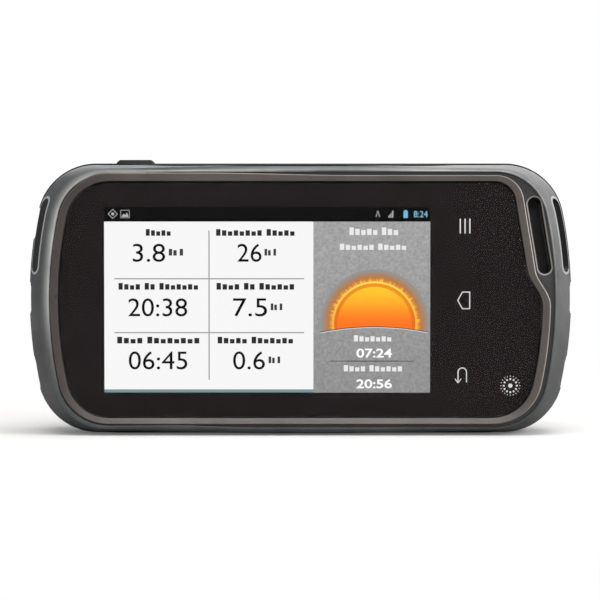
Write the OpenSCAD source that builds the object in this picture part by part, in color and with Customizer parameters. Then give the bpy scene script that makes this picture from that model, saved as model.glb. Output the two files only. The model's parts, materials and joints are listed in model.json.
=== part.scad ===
// Handheld navigation unit, standing on its long side.
// X runs along the unit, the screen looks towards -Y, and Z is up.
// A depth is counted back from the front face, and a height from the middle line.

/* [Case] */
// Length of the unit over the end treads
case_l = 150.1; // [140:0.1:182]
// Height of the unit as it stands, over the bumper
case_h = 74.3; // [70:0.1:92]
// Radius of the case corners
corner_r = 16.5; // [14:0.5:20]
// Radius of the long curve of each end
end_bulge = 118; // [100:1:160]
// Thickness of the bumper at the two ends
bumper_end_t = 5.6; // [5.2:0.1:6.4]
// Thickness of the bumper along the two long sides
bumper_side_t = 2.3; // [2.1:0.1:3]
// Depth to the back edge of the bumper band
band_back = 21; // [20.5:0.1:22]
// Gap between the bumper band and the case inside it
band_gap = 0.05; // [0.03:0.01:0.1]

/* [Treads and lanyard slot] */
// Depth of the tread notches in the ends
tread_depth = 0.9; // [0.5:0.1:1.4]
// Height of each tread notch
tread_h = 7.4; // [6:0.1:8.5]
// Distance between the middles of neighbouring tread notches
tread_pitch = 20.6; // [18:0.1:22]
// Width of the lanyard slots
slot_w = 3.2; // [2.5:0.1:4]
// Distance between the end centres of the front slot
slot_run = 17.5; // [14:0.1:18.5]
// Lean of the front slot from upright
slot_lean = 9.5; // [6:0.5:12]
// Depth of the lanyard pocket
pocket_depth = 9; // [8:0.1:10]

/* [Front] */
// Distance from each end of the case to the cover glass
glass_end = 9.35; // [9:0.05:11]
// Distance from each long side of the case to the cover glass
glass_side = 5.25; // [5.2:0.05:7]
// Thickness of the cover glass
glass_t = 1.1; // [0.8:0.1:1.5]
// Depth of the glass below the bezel ring
glass_sunk = 0.7; // [0.4:0.1:1]
// Thickness of the adhesive frame behind the glass
adhesive_t = 0.4; // [0.3:0.05:0.5]
// Width of the bezel ring at the ends
ring_w = 2.2; // [1.8:0.1:2.6]
// Width of the bezel ring along the long sides
ring_side_w = 1.7; // [1.2:0.1:1.8]
// Gap between glass and bezel ring
ring_gap = 0.45; // [0.3:0.05:0.6]

/* [Display] */
// Length of the display panel
display_l = 96; // [90:0.5:100]
// Height of the display panel
display_h = 56; // [52:0.5:58]
// Thickness of the display panel
display_t = 2.2; // [1.8:0.1:2.6]
// Offset of the display towards the left end
display_shift = 9; // [8:0.1:11]

/* [Boards] */
// Thickness of the circuit boards
board_t = 1; // [0.8:0.1:1.2]
// Height of the standoffs under the main board
standoff_h = 2.4; // [2:0.1:3]
// Diameter of the small screws' threads
screw_d = 2; // [1.6:0.1:2.2]
// Gap around a screw in its hole
screw_gap = 0.05; // [0.03:0.01:0.1]

/* [Battery] */
// Length of the battery pack
battery_l = 77; // [70:0.5:79]
// Height of the battery pack
battery_h = 41; // [38:0.5:42]
// Thickness of the battery pack
battery_t = 10.5; // [8.5:0.1:13]
// Gap around the battery in its bay
battery_gap = 0.5; // [0.3:0.1:0.8]

/* [Battery cover] */
// Distance from the left end to the cover
cover_left = 23.5; // [23:0.1:24]
// Distance from the right end to the cover
cover_right = 18; // [17:0.1:20]
// Height of the cover
cover_h = 49.2; // [48:0.1:50]
// Gap between the cover and its seat in the housing
cover_gap = 0.3; // [0.2:0.05:0.5]
// Width of the mount spine over its lips
spine_w = 20; // [18:0.5:22]
// Width of the neck under the spine's lips
spine_neck_w = 16; // [14:0.5:17]
// Diameter of the latch spindle
spindle_d = 6; // [5:0.1:7]
// Radius of the lifting ring's bow
bow_r = 6.5; // [5.5:0.1:7]
// Thickness of the lifting ring's wire
wire_d = 1.8; // [1.5:0.1:2]

/* [Keys] */
// Length of the power key
power_key_l = 10.5; // [9:0.1:12]
// Length of each volume key
volume_key_l = 7.2; // [6:0.1:7.5]
// Width of the side keys
key_w = 3.6; // [3:0.1:4]
// Height that the power key stands over the case
key_proud = 1; // [0.3:0.05:1.2]
// Travel of a side key
key_travel = 0.5; // [0.3:0.05:0.6]
// Gap around a side key
key_gap = 0.3; // [0.25:0.05:0.4]

/* [Ports] */
// Diameter of the headphone socket
jack_d = 3.5; // [3.5:0.1:3.6]
// Depth of the headphone socket
jack_depth = 14; // [13.5:0.1:14.5]
// Height of the weather cap over the data ports
port_cap_h = 21; // [19:0.5:22]
// Height of the weather cap over the headphone socket
audio_cap_h = 9; // [8:0.5:10]
// Gap around the weather caps
cap_gap = 0.25; // [0.2:0.05:0.3]

/* [Hidden] */
$fn = 48;

// Steps of each corner and of each end curve
corner_steps = 9;
end_steps = 12;
step_steps = 8;
// Overshoot of a cut past the face that it opens
cut = 0.5;
// Thinnest gap between pieces that slide or turn on each other
slip = 0.1;

// Core: the outline of the sealed case, inside the bumper band
core_hl = case_l / 2 - bumper_end_t;
core_hh = case_h / 2 - bumper_side_t;
core_r = corner_r - bumper_side_t;
core_bulge = end_bulge - bumper_end_t;
mid_z = case_h / 2;

// Front levels, as depths
bumper_front = 0.4;
case_front = 0.9;
glass_front = glass_sunk;
glass_back = glass_front + glass_t;
ledge_d = glass_back + adhesive_t;
panel_back = glass_back + display_t;
backplate_t = 0.4;
floor_front = panel_back + backplate_t;
floor_t = 1.2;
floor_back = floor_front + floor_t;
board_front = floor_back + standoff_h;
board_back = board_front + board_t;
split_d = 13;
seal_t = 0.6;
rear_front = split_d + seal_t;

// Rear levels, as depths
bay_floor = 16.8;
bay_floor_t = 1.4;
bay_bottom = bay_floor + bay_floor_t;
battery_front = bay_bottom + 0.2;
battery_back = battery_front + battery_t;
cover_under = battery_back + 0.5;
cover_seal_t = 0.4;
seat_d = cover_under - cover_seal_t;
rear_d = seat_d + 2;
pad_d = cover_under + 3.6;
spine_lip_t = 1.9;
case_d = pad_d + 1.4 + spine_lip_t;
front_y = -case_d / 2;

// Glass outline, with the step beside the lanyard slot
glass_hl = case_l / 2 - glass_end;
glass_hh = case_h / 2 - glass_side;
glass_r = 11.5;
glass_bulge = core_bulge + glass_hl - core_hl;
glass_corner_r = 5.5;
step_low = -2;
step_high = 8;
step_x = glass_hl - 4.2;
step_lean = slot_lean;

// Light sensor under the glass, counted from the glass's lower right corner
sensor_x = glass_hl - 8.35;
sensor_z = -glass_hh + 8.4;

// Middle line of the touch keys
touch_x = glass_hl - 21.2;

// Lanyard slot, counted from the right end
slot_x = case_l / 2 - 9.9;
slot_z = mid_z + 17.5;
side_slot_front = 4.6;

// Main board
board_hl = case_l / 2 - 17.3;
board_hh = core_hh - 11.6;
standoff_r = 2.6;
standoffs = [for (x = [-board_hl + 7, 0, board_hl - 7], z = [-board_hh + 3.6, board_hh - 3.6]) [x, z]];
head_r = screw_d * 0.9;
head_t = 1.2;
shield_h = 2;

// Battery bay, counted from the left end
bay_left = -case_l / 2 + 26;
bay_right = bay_left + battery_l + 2 * battery_gap;
bay_hh = battery_h / 2 + battery_gap;
bay_wall = 1.6;
contacts_x = bay_right - 12;
card_x = bay_left + 20;

// Case screws
case_screw_x = [-case_l / 2 + 45, -case_l / 2 + 85, case_l / 2 - 25];
case_screw_z = core_hh - 7;
screw_post_r = 2.8;
screw_seat_d = 22;
case_screws_at = [for (x = case_screw_x, s = [-1, 1]) [x, s * case_screw_z]];

// Side keys, counted from the left end of the straight stretch of the long sides
straight_hl = case_l / 2 - end_bulge + sqrt(pow(end_bulge - corner_r, 2) - pow(mid_z - corner_r, 2));
key_mid = 17;
side_wall = 2.4;
end_wall = 3.65;
wall_in = core_hh - side_wall;
flange_t = 0.8;
flange_out = 0.7;
flange_top = wall_in - 0.3;
nub_h = 0.4;
dome_h = 0.45;
dome_top = flange_top - flange_t - nub_h - key_travel - 0.05;
key_board_top = dome_top - dome_h;
key_board_t = 0.8;
power_key_x = -straight_hl + 10.7;
volume_up_x = -straight_hl + 7.3;
volume_down_x = volume_up_x + 9.1;
volume_floor = 0.1;

key_seal_t = 0.8;
seal_low = wall_in + 0.9;
seal_w = 0.85;

// Camera end, counted from the left end
camera_x = -case_l / 2 + 18;
rear_wall_t = 1.6;
wall_inner = seat_d - rear_wall_t;
flash_z = 11;
speaker_z = -13;
speaker_r = 5.2;

// Thickness of the round glass windows, the camera and the speaker's mesh
window_t = 1.2;
camera_t = 6;
mesh_t = 0.4;

// Ports, counted from the right end
cap_floor_x = case_l / 2 - 7.45;
port_mouth_x = cap_floor_x - 0.3;
port_board_front = 20.6;
port_board_back = port_board_front + board_t;
cap_front = 21.8;
cap_back = 28;
port_cap_low = -14;
audio_cap_low = port_cap_low + port_cap_h + 2;
usb_z = port_cap_low + 6;
video_z = port_cap_low + 15;
jack_side = 5.6;
jack_z = audio_cap_low + audio_cap_h / 2;
jack_axis = port_board_back + jack_side / 2;
cap_hinge_x = cap_floor_x + 1.8;
cap_hinge_d = cap_back - 0.2;
cap_relief_r = 1.9;

usb_w = 7.6;
usb_t = 2.8;
video_w = 6.6;
video_t = 3;

// Latch
latch_x = case_l / 2 - 31;
latch_pad = pad_d - 0.8;
cam_t = 1;
cam_l = 10;
cam_w = 4;
cam_pin_r = 1.8;
pocket_r = cam_l / 2 + 0.6;
cam_back = cover_under - 0.2;
cam_front = cam_back - cam_t;
head_d = 10.6;
head_back = latch_pad + 1.4;
ring_axis = head_back + 0.05 + wire_d / 2;
lug_in = 2.9;
lug_out = 4.4;

// Battery cover and its mount spine
cover_x1 = -case_l / 2 + cover_left;
cover_x2 = case_l / 2 - cover_right;
cover_r = 6;
spine_x1 = -case_l / 2 + 35;
spine_x2 = latch_x - 14;

// Outline helpers --------------------------------------------------------

function arc(cx, cz, r, a1, a2, n) =
    [for (k = [0:n]) let (a = a1 + (a2 - a1) * k / n) [cx + r * cos(a), cz + r * sin(a)]];

// Straight long sides, round corners and a long shallow curve at each end
function case_outline(hl, hh, r, bulge) =
    let (c = hl - bulge)
    let (cx = c + sqrt(pow(bulge - r, 2) - pow(hh - r, 2)), cz = hh - r)
    let (t = atan2(cz, cx - c))
    concat(
        arc(cx, -cz, r, 270, 360 - t, corner_steps),
        [for (k = [1:end_steps - 1]) let (a = -t + 2 * t * k / end_steps)
            [c + bulge * cos(a), bulge * sin(a)]],
        arc(cx, cz, r, t, 90, corner_steps),
        arc(-cx, cz, r, 90, 180 - t, corner_steps),
        [for (k = [1:end_steps - 1]) let (a = 180 - t + 2 * t * k / end_steps)
            [-c + bulge * cos(a), bulge * sin(a)]],
        arc(-cx, -cz, r, 180 + t, 270, corner_steps));

// The outer outline of the unit, pulled in all round
function shell_outline(inset) =
    case_outline(case_l / 2 - inset, case_h / 2 - inset, corner_r - inset, end_bulge - inset);

// The glass outline, grown along the unit and across it
function face_outline(gx, gz) =
    let (hl = glass_hl + gx, hh = glass_hh + gz, r = glass_r + gz, bulge = glass_bulge + gx)
    let (c = hl - bulge, rc = glass_corner_r + gz)
    let (cx = c + sqrt(pow(bulge - r, 2) - pow(hh - r, 2)), cz = hh - r)
    let (t = atan2(cz, cx - c))
    let (lean_top = hh - rc + rc * sin(step_lean))
    let (xc = step_x + gx - (lean_top - step_high) * tan(step_lean) - rc * cos(step_lean))
    concat(
        arc(cx, -cz, r, 270, 360 - t, corner_steps),
        [for (k = [1:6]) let (a = -t + (asin(step_low / bulge) + t) * k / 6)
            [c + bulge * cos(a), bulge * sin(a)]],
        [for (k = [1:step_steps])
            let (z = step_low + (step_high - step_low) * k / step_steps)
            let (ease = (1 - cos(180 * k / step_steps)) / 2)
            let (x_out = c + sqrt(bulge * bulge - z * z))
            let (x_in = step_x + gx - (z - step_high) * tan(step_lean))
            [x_out + (x_in - x_out) * ease, z]],
        arc(xc, hh - rc, rc, step_lean, 90, corner_steps),
        arc(-cx, cz, r, 90, 180 - t, corner_steps),
        [for (k = [1:end_steps - 1]) let (a = 180 - t + 2 * t * k / end_steps)
            [-c + bulge * cos(a), bulge * sin(a)]],
        arc(-cx, -cz, r, 180 + t, 270, corner_steps));

// A rectangle with round corners
function box_outline(x1, x2, z1, z2, r) = concat(
    arc(x2 - r, z1 + r, r, 270, 360, corner_steps), arc(x2 - r, z2 - r, r, 0, 90, corner_steps),
    arc(x1 + r, z2 - r, r, 90, 180, corner_steps), arc(x1 + r, z1 + r, r, 180, 270, corner_steps));

// Depth of the seam between bumper and side grip, deep at the ends and shallow mid-way
function seam_depth(x) =
    let (k = min(1, max(0, (abs(x) - 28) / (case_l / 2 - 35))))
    3.6 + 10.4 * (1 - cos(180 * k)) / 2;

// A flat slice between two depths
module slab(d1, d2) {
    translate([0, front_y + d2, mid_z]) rotate([90, 0, 0]) linear_extrude(d2 - d1) children();
}

// A box between two lengths, two depths and two heights over the middle line
module block(x1, x2, d1, d2, z1, z2) {
    translate([x1, front_y + d1, mid_z + z1]) cube([x2 - x1, d2 - d1, z2 - z1]);
}

// A round bar along the depth
module rod(x, z, r, d1, d2) {
    translate([x, front_y + d2, mid_z + z]) rotate([90, 0, 0]) cylinder(r = r, h = d2 - d1);
}

// A closed skin through outlines at rising depths
module loft(rings) {
    n = len(rings[0][1]);
    m = len(rings);
    points = [for (ring = rings, p = ring[1]) [p[0], front_y + ring[0], mid_z + p[1]]];
    sides = [for (k = [0:m - 2], i = [0:n - 1]) let (j = (i + 1) % n)
        [k * n + i, k * n + j, (k + 1) * n + j, (k + 1) * n + i]];
    polyhedron(points, concat([[for (i = [n - 1:-1:0]) i]], [[for (i = [0:n - 1]) (m - 1) * n + i]], sides));
}

module below_the_middle() {
    translate([0, 0, mid_z]) mirror([0, 0, 1]) translate([0, 0, -mid_z]) children();
}

module core_2d(grow) {
    polygon(case_outline(core_hl + grow, core_hh + grow, core_r + grow, core_bulge + grow));
}

module ring_2d(grow) {
    polygon(face_outline(ring_gap + ring_w + grow, ring_gap + ring_side_w + grow));
}

// Bumper band ------------------------------------------------------------

module band() {
    difference() {
        loft([[bumper_front, shell_outline(1.9)], [1.2, shell_outline(1.2)], [3, shell_outline(0.8)],
              [7, shell_outline(0.35)], [11, shell_outline(0)],
              [band_back - 0.8, shell_outline(0)], [band_back, shell_outline(0.6)]]);
        slab(-cut, band_back + cut) core_2d(band_gap);
        treads();
    }
}

// Bevelled notches across both ends, the upper right one left out for the lanyard slot
module treads() {
    for (row = [-1, 0, 1]) {
        tread(-1, row * tread_pitch);
        if (row < 1)
            tread(1, row * tread_pitch);
    }
}

module tread(side, z) {
    x_face = case_l / 2 - end_bulge + sqrt(pow(end_bulge, 2) - z * z);
    lean = -z / end_bulge;
    bevel = 0.8;
    slab(bumper_front - cut, band_back + cut)
        polygon([for (p = [[2, -tread_h / 2 - 2 * bevel], [-tread_depth, -tread_h / 2 + bevel],
                           [-tread_depth, tread_h / 2 - bevel], [2, tread_h / 2 + 2 * bevel]])
            [side * (x_face + p[0] + lean * p[1]), z + p[1]]]);
}

// Everything in front of the wavy seam
module before_the_seam(shift) {
    xs = [for (k = [-20:20]) k * case_l / 38];
    linear_extrude(case_h + 4)
        polygon(concat([[-case_l, front_y - 2], [case_l, front_y - 2]],
            [for (k = [40:-1:0]) [xs[k], front_y + seam_depth(xs[k]) + shift]]));
}

module lanyard_slot_2d(w) {
    rotate(slot_lean) {
        square([w, slot_run], center = true);
        for (s = [-1, 1])
            translate([0, s * slot_run / 2]) circle(d = w);
    }
}

module front_slot(grow) {
    translate([slot_x, front_y + pocket_depth, slot_z]) rotate([90, 0, 0])
        linear_extrude(pocket_depth + cut) lanyard_slot_2d(slot_w + grow);
}

// The slot from the side that meets the front slot in the pocket
module side_slot() {
    r = slot_w / 2;
    for (s = [-1, 1])
        translate([slot_x, front_y + side_slot_front + r, slot_z + s * (slot_run / 2 - 0.4)])
            rotate([0, 90, 0]) cylinder(r = r, h = 16);
    translate([slot_x, front_y + side_slot_front, slot_z - slot_run / 2 + 0.4])
        cube([16, slot_w, slot_run - 0.8]);
}

module bumper() {
    color("dimgray") difference() {
        intersection() {
            band();
            before_the_seam(0);
        }
        side_slot();
    }
}

module side_grip() {
    color("slategray") difference() {
        band();
        before_the_seam(0.1);
        key_holes(key_gap);
    }
}

// Front ------------------------------------------------------------------

module front_case() {
    color("darkslategray") difference() {
        union() {
            difference() {
                slab(case_front, split_d) core_2d(0);
                slab(case_front - cut, ledge_d) ring_2d(slip);
                display_recess();
                slab(floor_back, split_d + cut) polygon(face_outline(-0.9, 0.4));
            }
            for (p = standoffs)
                rod(p[0], p[1], standoff_r, floor_front, board_front);
            for (p = case_screws_at)
                rod(p[0], p[1], screw_post_r, floor_front, split_d);
        }
        for (p = standoffs)
            rod(p[0], p[1], screw_d / 2 + screw_gap, floor_back - 0.6, board_front + cut);
        for (p = case_screws_at)
            rod(p[0], p[1], screw_d / 2 + screw_gap, floor_back + 1, split_d + cut);
        block(-10.4, 10.4, panel_back, floor_back + cut, -2.4, -1.2);
        block(sensor_x - 4.2, sensor_x + 4.2, ledge_d - cut, floor_front, sensor_z - 4.2, sensor_z + 4.2);
        front_slot(0);
        side_slot();
    }
}

module display_recess() {
    block(-display_shift - display_l / 2 - 0.3, -display_shift + display_l / 2 + 0.3, ledge_d - cut,
          floor_front, -display_h / 2 - 0.3, display_h / 2 + 0.3);
}

module bezel_ring() {
    color("dimgray") slab(0, ledge_d) difference() {
        ring_2d(0);
        polygon(face_outline(ring_gap, ring_gap));
    }
}

module cover_glass() {
    color("black") slab(glass_front, glass_back) polygon(face_outline(0, 0));
}

module glass_adhesive() {
    color("gray") slab(glass_back, ledge_d) difference() {
        polygon(face_outline(-0.4, -0.4));
        polygon(face_outline(-2.3, -2.3));
    }
}

module display_panel() {
    color("whitesmoke") block(-display_shift - display_l / 2, -display_shift + display_l / 2,
                              glass_back, panel_back, -display_h / 2, display_h / 2);
}

module display_backplate() {
    color("silver") block(-display_shift - display_l / 2, -display_shift + display_l / 2,
                          panel_back, floor_front, -display_h / 2, display_h / 2);
}

module display_cable() {
    color("darkorange") block(-10, 10, floor_front, board_front, -2, -1.6);
}

module touch_key_board() {
    color("darkgreen") block(touch_x - 4.5, touch_x + 4.5, glass_back, ledge_d, -24, 24);
}

module light_sensor() {
    color("black") {
        rod(sensor_x, sensor_z, 1.6, glass_back, floor_front - board_t);
        block(sensor_x - 4, sensor_x + 4, floor_front - board_t, floor_front, sensor_z - 4, sensor_z + 4);
    }
}

// Main board and what it carries -----------------------------------------

module main_board() {
    color("darkgreen") difference() {
        block(-board_hl, board_hl, board_front, board_back, -board_hh, board_hh);
        for (p = standoffs)
            rod(p[0], p[1], screw_d / 2 + screw_gap, board_front - cut, board_back + cut);
    }
}

module screw(x, z, tip, seat) {
    rod(x, z, screw_d / 2, tip, seat + 0.2);
    difference() {
        rod(x, z, head_r, seat, seat + head_t);
        slab(seat + head_t / 2, seat + head_t + cut) translate([x, z]) circle(d = head_r, $fn = 6);
    }
}

module board_screws() {
    color("silver") for (p = standoffs)
        screw(p[0], p[1], floor_back, board_back);
}

module case_screws() {
    color("silver") for (p = case_screws_at)
        screw(p[0], p[1], floor_back + 1.3, screw_seat_d);
}

module processor_shield() {
    color("silver") block(contacts_x - 39, contacts_x - 9, board_back, board_back + shield_h, -14, 14);
}

module radio_shield() {
    color("silver") block(-board_hl + 13, -board_hl + 33, board_back, board_back + shield_h, -18, -2);
}

module gps_antenna() {
    color("tan") block(-board_hl + 11, -board_hl + 29, board_back, board_back + 4, 1, 18);
}

module vibration_motor() {
    color("silver") rod(board_hl - 22, -12, 4, board_back, board_back + 3);
}

module microphone() {
    color("gold") block(board_hl - 6, board_hl - 2, board_back, board_back + 1.2, -6, -3);
}

module battery_contacts() {
    color("black") block(contacts_x - 5, contacts_x + 5, board_back, bay_bottom, -2, 2);
    color("gold") for (s = [-3, 0, 3])
        rod(contacts_x + s, 0, 0.6, bay_bottom, battery_front);
}

module card_holder() {
    color("silver") difference() {
        block(card_x - 7, card_x + 7, bay_floor, bay_bottom, -7, 7);
        block(card_x - 5.7, card_x + 7 + cut, bay_floor + 0.3, bay_floor + 1.1, -5.7, 5.7);
    }
}

module memory_card() {
    color("black") block(card_x - 5.6, card_x + 6.6, bay_floor + 0.3, bay_floor + 1, -5.5, 5.5);
}

module housing_seal() {
    color("darkorange") slab(split_d, rear_front) difference() {
        core_2d(-0.4);
        core_2d(-1.8);
    }
}

// Rear housing -----------------------------------------------------------

module rear_form(inset) {
    loft([[band_back + 0.1, shell_outline(1.6 + inset)], [rear_d - 6, shell_outline(2.6 + inset)],
          [rear_d - 3, shell_outline(4.4 + inset)], [rear_d - 1, shell_outline(6.8 + inset)],
          [rear_d, shell_outline(9.3 + inset)]]);
}

// Where the keys pass through the band and the case wall
module key_holes(grow) {
    low = wall_in - 1;
    high = case_h / 2 + 2;
    key_cut(power_key_x, power_key_l, grow, low, high);
    below_the_middle() for (x = [volume_up_x, volume_down_x])
        key_cut(x, volume_key_l, grow, low, high);
}

module key_cut(x, length, grow, low, high) {
    translate([0, 0, mid_z + low]) linear_extrude(high - low)
        polygon(key_outline(x, length, grow));
}

function key_outline(x, length, grow) =
    let (w = key_w / 2 + grow)
    box_outline(x - length / 2 - grow, x + length / 2 + grow,
                front_y + key_mid - w, front_y + key_mid + w, 0.8 + grow);

module cavity_2d(inset) {
    polygon(case_outline(core_hl - end_wall - inset, wall_in - inset, core_r - side_wall - inset,
                         core_bulge - end_wall - inset));
}

module cover_2d(grow) {
    polygon(box_outline(cover_x1 - grow, cover_x2 + grow, -cover_h / 2 - grow, cover_h / 2 + grow,
                        cover_r + grow));
}

module rear_housing() {
    color("dimgray") difference() {
        union() {
            difference() {
                union() {
                    slab(rear_front, band_back + 0.3) core_2d(0);
                    rear_form(0);
                }
                slab(rear_front - cut, wall_inner - 2.4) cavity_2d(0);
                slab(wall_inner - 2.5, wall_inner) cavity_2d(2.5);
            }
            block(bay_left - bay_wall, bay_right + bay_wall, bay_floor, wall_inner + 0.1,
                  -bay_hh - bay_wall, bay_hh + bay_wall);
            rod(latch_x, 0, pocket_r + 1.4, wall_inner - 1.1, wall_inner + 0.1);
            for (p = case_screws_at)
                rod(p[0], p[1], screw_post_r + 0.4, rear_front, wall_inner + 0.1);
            for (z = [usb_z - 4, video_z + 5])
                rod(cap_floor_x - 11.6, z, 2, port_board_back, wall_inner + 0.1);
            key_ribs(power_key_x - power_key_l / 2, power_key_x + power_key_l / 2);
            below_the_middle()
                key_ribs(volume_up_x - volume_key_l / 2, volume_down_x + volume_key_l / 2);
        }
        block(bay_left, bay_right, bay_bottom, rear_d + cut, -bay_hh, bay_hh);
        bay_floor_windows();
        slab(seat_d, rear_d + cut) cover_2d(cover_gap);
        rod(latch_x, 0, pocket_r, cam_front - 0.3, seat_d + cut);
        for (p = case_screws_at) {
            rod(p[0], p[1], screw_d / 2 + screw_gap, rear_front - cut, screw_seat_d + cut);
            rod(p[0], p[1], head_r + 0.3, screw_seat_d, rear_d + cut);
        }
        camera_end_holes();
        port_holes();
        key_holes(key_gap);
        seal_grooves();
    }
}

module bay_floor_windows() {
    block(contacts_x - 5.2, contacts_x + 5.2, bay_floor - cut, bay_bottom + cut, -2.2, 2.2);
    block(card_x - 7.2, card_x + 7.2, bay_floor - cut, bay_bottom + cut, -7.2, 7.2);
}

module camera_end_holes() {
    rod(camera_x, 0, 3, wall_inner - cut, rear_d + cut);
    rod(camera_x, 0, 3.9, rear_d - window_t, rear_d + cut);
    rod(camera_x, flash_z, 1.8, wall_inner - cut, rear_d + cut);
    rod(camera_x, flash_z, 2.7, rear_d - window_t, rear_d + cut);
    for (k = [-2:2])
        block(camera_x + k * 1.9 - 0.5, camera_x + k * 1.9 + 0.5, wall_inner - cut, rear_d + cut,
              speaker_z - 4, speaker_z + 4);
}

module port_holes() {
    cap_pocket(port_cap_low, port_cap_h);
    cap_pocket(audio_cap_low, audio_cap_h);
    block(port_mouth_x - 8, cap_floor_x + cut, port_board_back - 0.2, port_board_back + usb_t + 0.2,
          usb_z - usb_w / 2 - 0.2, usb_z + usb_w / 2 + 0.2);
    block(port_mouth_x - 8, cap_floor_x + cut, port_board_back - 0.2, port_board_back + video_t + 0.2,
          video_z - video_w / 2 - 0.2, video_z + video_w / 2 + 0.2);
    block(port_mouth_x - 8, cap_floor_x + cut, port_board_back - 0.2, port_board_back + jack_side + 0.15,
          jack_z - jack_side / 2 - 0.2, jack_z + jack_side / 2 + 0.2);
}

module cap_pocket(low, height) {
    block(cap_floor_x, case_l / 2 + 2, cap_front, cap_back, low, low + height);
    translate([cap_hinge_x, front_y + cap_hinge_d, mid_z + low])
        cylinder(r = cap_relief_r, h = height);
}

// Ribs that hold a key's switch board from both ends
module key_ribs(x1, x2) {
    w = 3;
    near = flange_out + 0.5;
    for (x = [x1 - near - 1.2, x2 + near])
        block(x, x + 1.2, key_mid - w, key_mid + w, key_board_top - key_board_t, wall_in + 0.4);
}

// Grooves around the keys that hold their seals
module seal_grooves() {
    key_cut(power_key_x, power_key_l, seal_w, seal_low, seal_low + key_seal_t);
    below_the_middle() for (x = [volume_up_x, volume_down_x])
        key_cut(x, volume_key_l, seal_w, seal_low, seal_low + key_seal_t);
}

// Keys -------------------------------------------------------------------

module side_key(x, length, top) {
    translate([0, 0, mid_z + flange_top - flange_t]) linear_extrude(top - flange_top + flange_t)
        polygon(key_outline(x, length, 0));
    translate([0, 0, mid_z + flange_top - flange_t]) linear_extrude(flange_t)
        polygon(key_outline(x, length, flange_out));
    translate([x, front_y + key_mid, mid_z + flange_top - flange_t - nub_h])
        cylinder(r = 1, h = nub_h + 0.1);
}

module key_seal(x, length) {
    translate([0, 0, mid_z + seal_low + 0.05]) linear_extrude(key_seal_t - 0.1) difference() {
        polygon(key_outline(x, length, seal_w - 0.05));
        polygon(key_outline(x, length, slip));
    }
}

// A switch board with one dome under each key
module switch_board(x1, x2, domes) {
    near = flange_out + 0.5;
    color("darkgreen") block(x1 - near, x2 + near, key_mid - 2.6, key_mid + 2.6,
                             key_board_top - key_board_t, key_board_top);
    color("silver") for (x = domes)
        translate([x, front_y + key_mid, mid_z + key_board_top]) cylinder(r = 1.8, h = dome_h);
}

module power_key() {
    color("black") side_key(power_key_x, power_key_l, case_h / 2 + key_proud);
}

module power_key_seal() {
    color("black") key_seal(power_key_x, power_key_l);
}

module power_key_board() {
    switch_board(power_key_x - power_key_l / 2, power_key_x + power_key_l / 2, [power_key_x]);
}

module volume_up_key() {
    color("black") below_the_middle()
        side_key(volume_up_x, volume_key_l, case_h / 2 - volume_floor);
}

module volume_down_key() {
    color("black") below_the_middle()
        side_key(volume_down_x, volume_key_l, case_h / 2 - volume_floor);
}

module volume_key_seals() {
    color("black") below_the_middle() for (x = [volume_up_x, volume_down_x])
        key_seal(x, volume_key_l);
}

module volume_key_board() {
    below_the_middle()
        switch_board(volume_up_x - volume_key_l / 2, volume_down_x + volume_key_l / 2,
                     [volume_up_x, volume_down_x]);
}

// Camera end -------------------------------------------------------------

module camera_module() {
    color("black") {
        block(camera_x - 4.5, camera_x + 4.5, wall_inner - camera_t, wall_inner, -4.5, 4.5);
        rod(camera_x, 0, 2.6, wall_inner - 0.1, wall_inner + 1.6);
    }
}

module camera_window() {
    color("lightsteelblue") rod(camera_x, 0, 3.8, rear_d - window_t, rear_d - 0.1);
}

module camera_cable() {
    color("darkorange") block(camera_x + 1.3, camera_x + 1.7, board_back, wall_inner - camera_t, -3, 3);
}

module flash_led() {
    color("gold") block(camera_x - 2, camera_x + 2, wall_inner - 1.5, wall_inner, flash_z - 2, flash_z + 2);
}

module flash_window() {
    color("ivory") rod(camera_x, flash_z, 2.6, rear_d - window_t, rear_d - 0.1);
}

module speaker() {
    color("silver") rod(camera_x, speaker_z, speaker_r, wall_inner - mesh_t - 4, wall_inner - mesh_t);
}

module speaker_mesh() {
    color("black") rod(camera_x, speaker_z, speaker_r - 0.5, wall_inner - mesh_t, wall_inner);
}

// Ports ------------------------------------------------------------------

module port_board() {
    color("darkgreen") block(latch_x + 2, cap_floor_x - 4.6, port_board_front, port_board_back,
                             usb_z - 6, jack_z + 4);
}

module port_cable() {
    color("darkorange") block(latch_x + 3.5, latch_x + 3.9, board_back, port_board_front, -5, 5);
}

// A metal socket with its mouth towards the right end
module socket(z, w, t, length) {
    difference() {
        block(port_mouth_x - length, port_mouth_x, port_board_back, port_board_back + t,
              z - w / 2, z + w / 2);
        difference() {
            block(port_mouth_x - length + 0.8, port_mouth_x + cut, port_board_back + 0.35,
                  port_board_back + t - 0.35, z - w / 2 + 0.35, z + w / 2 - 0.35);
            block(port_mouth_x - length, port_mouth_x - 0.8, port_board_back + t / 2 - 0.35,
                  port_board_back + t / 2 + 0.35, z - w / 2 + 1.4, z + w / 2 - 1.4);
        }
    }
}

module usb_port() {
    color("silver") socket(usb_z, usb_w, usb_t, 5.7);
}

module video_port() {
    color("silver") socket(video_z, video_w, video_t, 6.5);
}

module headphone_jack() {
    color("black") difference() {
        block(port_mouth_x - jack_depth - 1, port_mouth_x, port_board_back, port_board_back + jack_side,
              jack_z - jack_side / 2, jack_z + jack_side / 2);
        translate([port_mouth_x - jack_depth, front_y + jack_axis, mid_z + jack_z])
            rotate([0, 90, 0]) cylinder(d = jack_d, h = jack_depth + cut);
    }
}

module weather_cap(low, height) {
    intersection() {
        rear_form(0.05);
        block(cap_floor_x + cap_gap, case_l / 2, cap_front + cap_gap, cap_back - cap_gap,
              low + cap_gap, low + height - cap_gap);
    }
}

module port_cap() {
    color("black") weather_cap(port_cap_low, port_cap_h);
}

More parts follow.
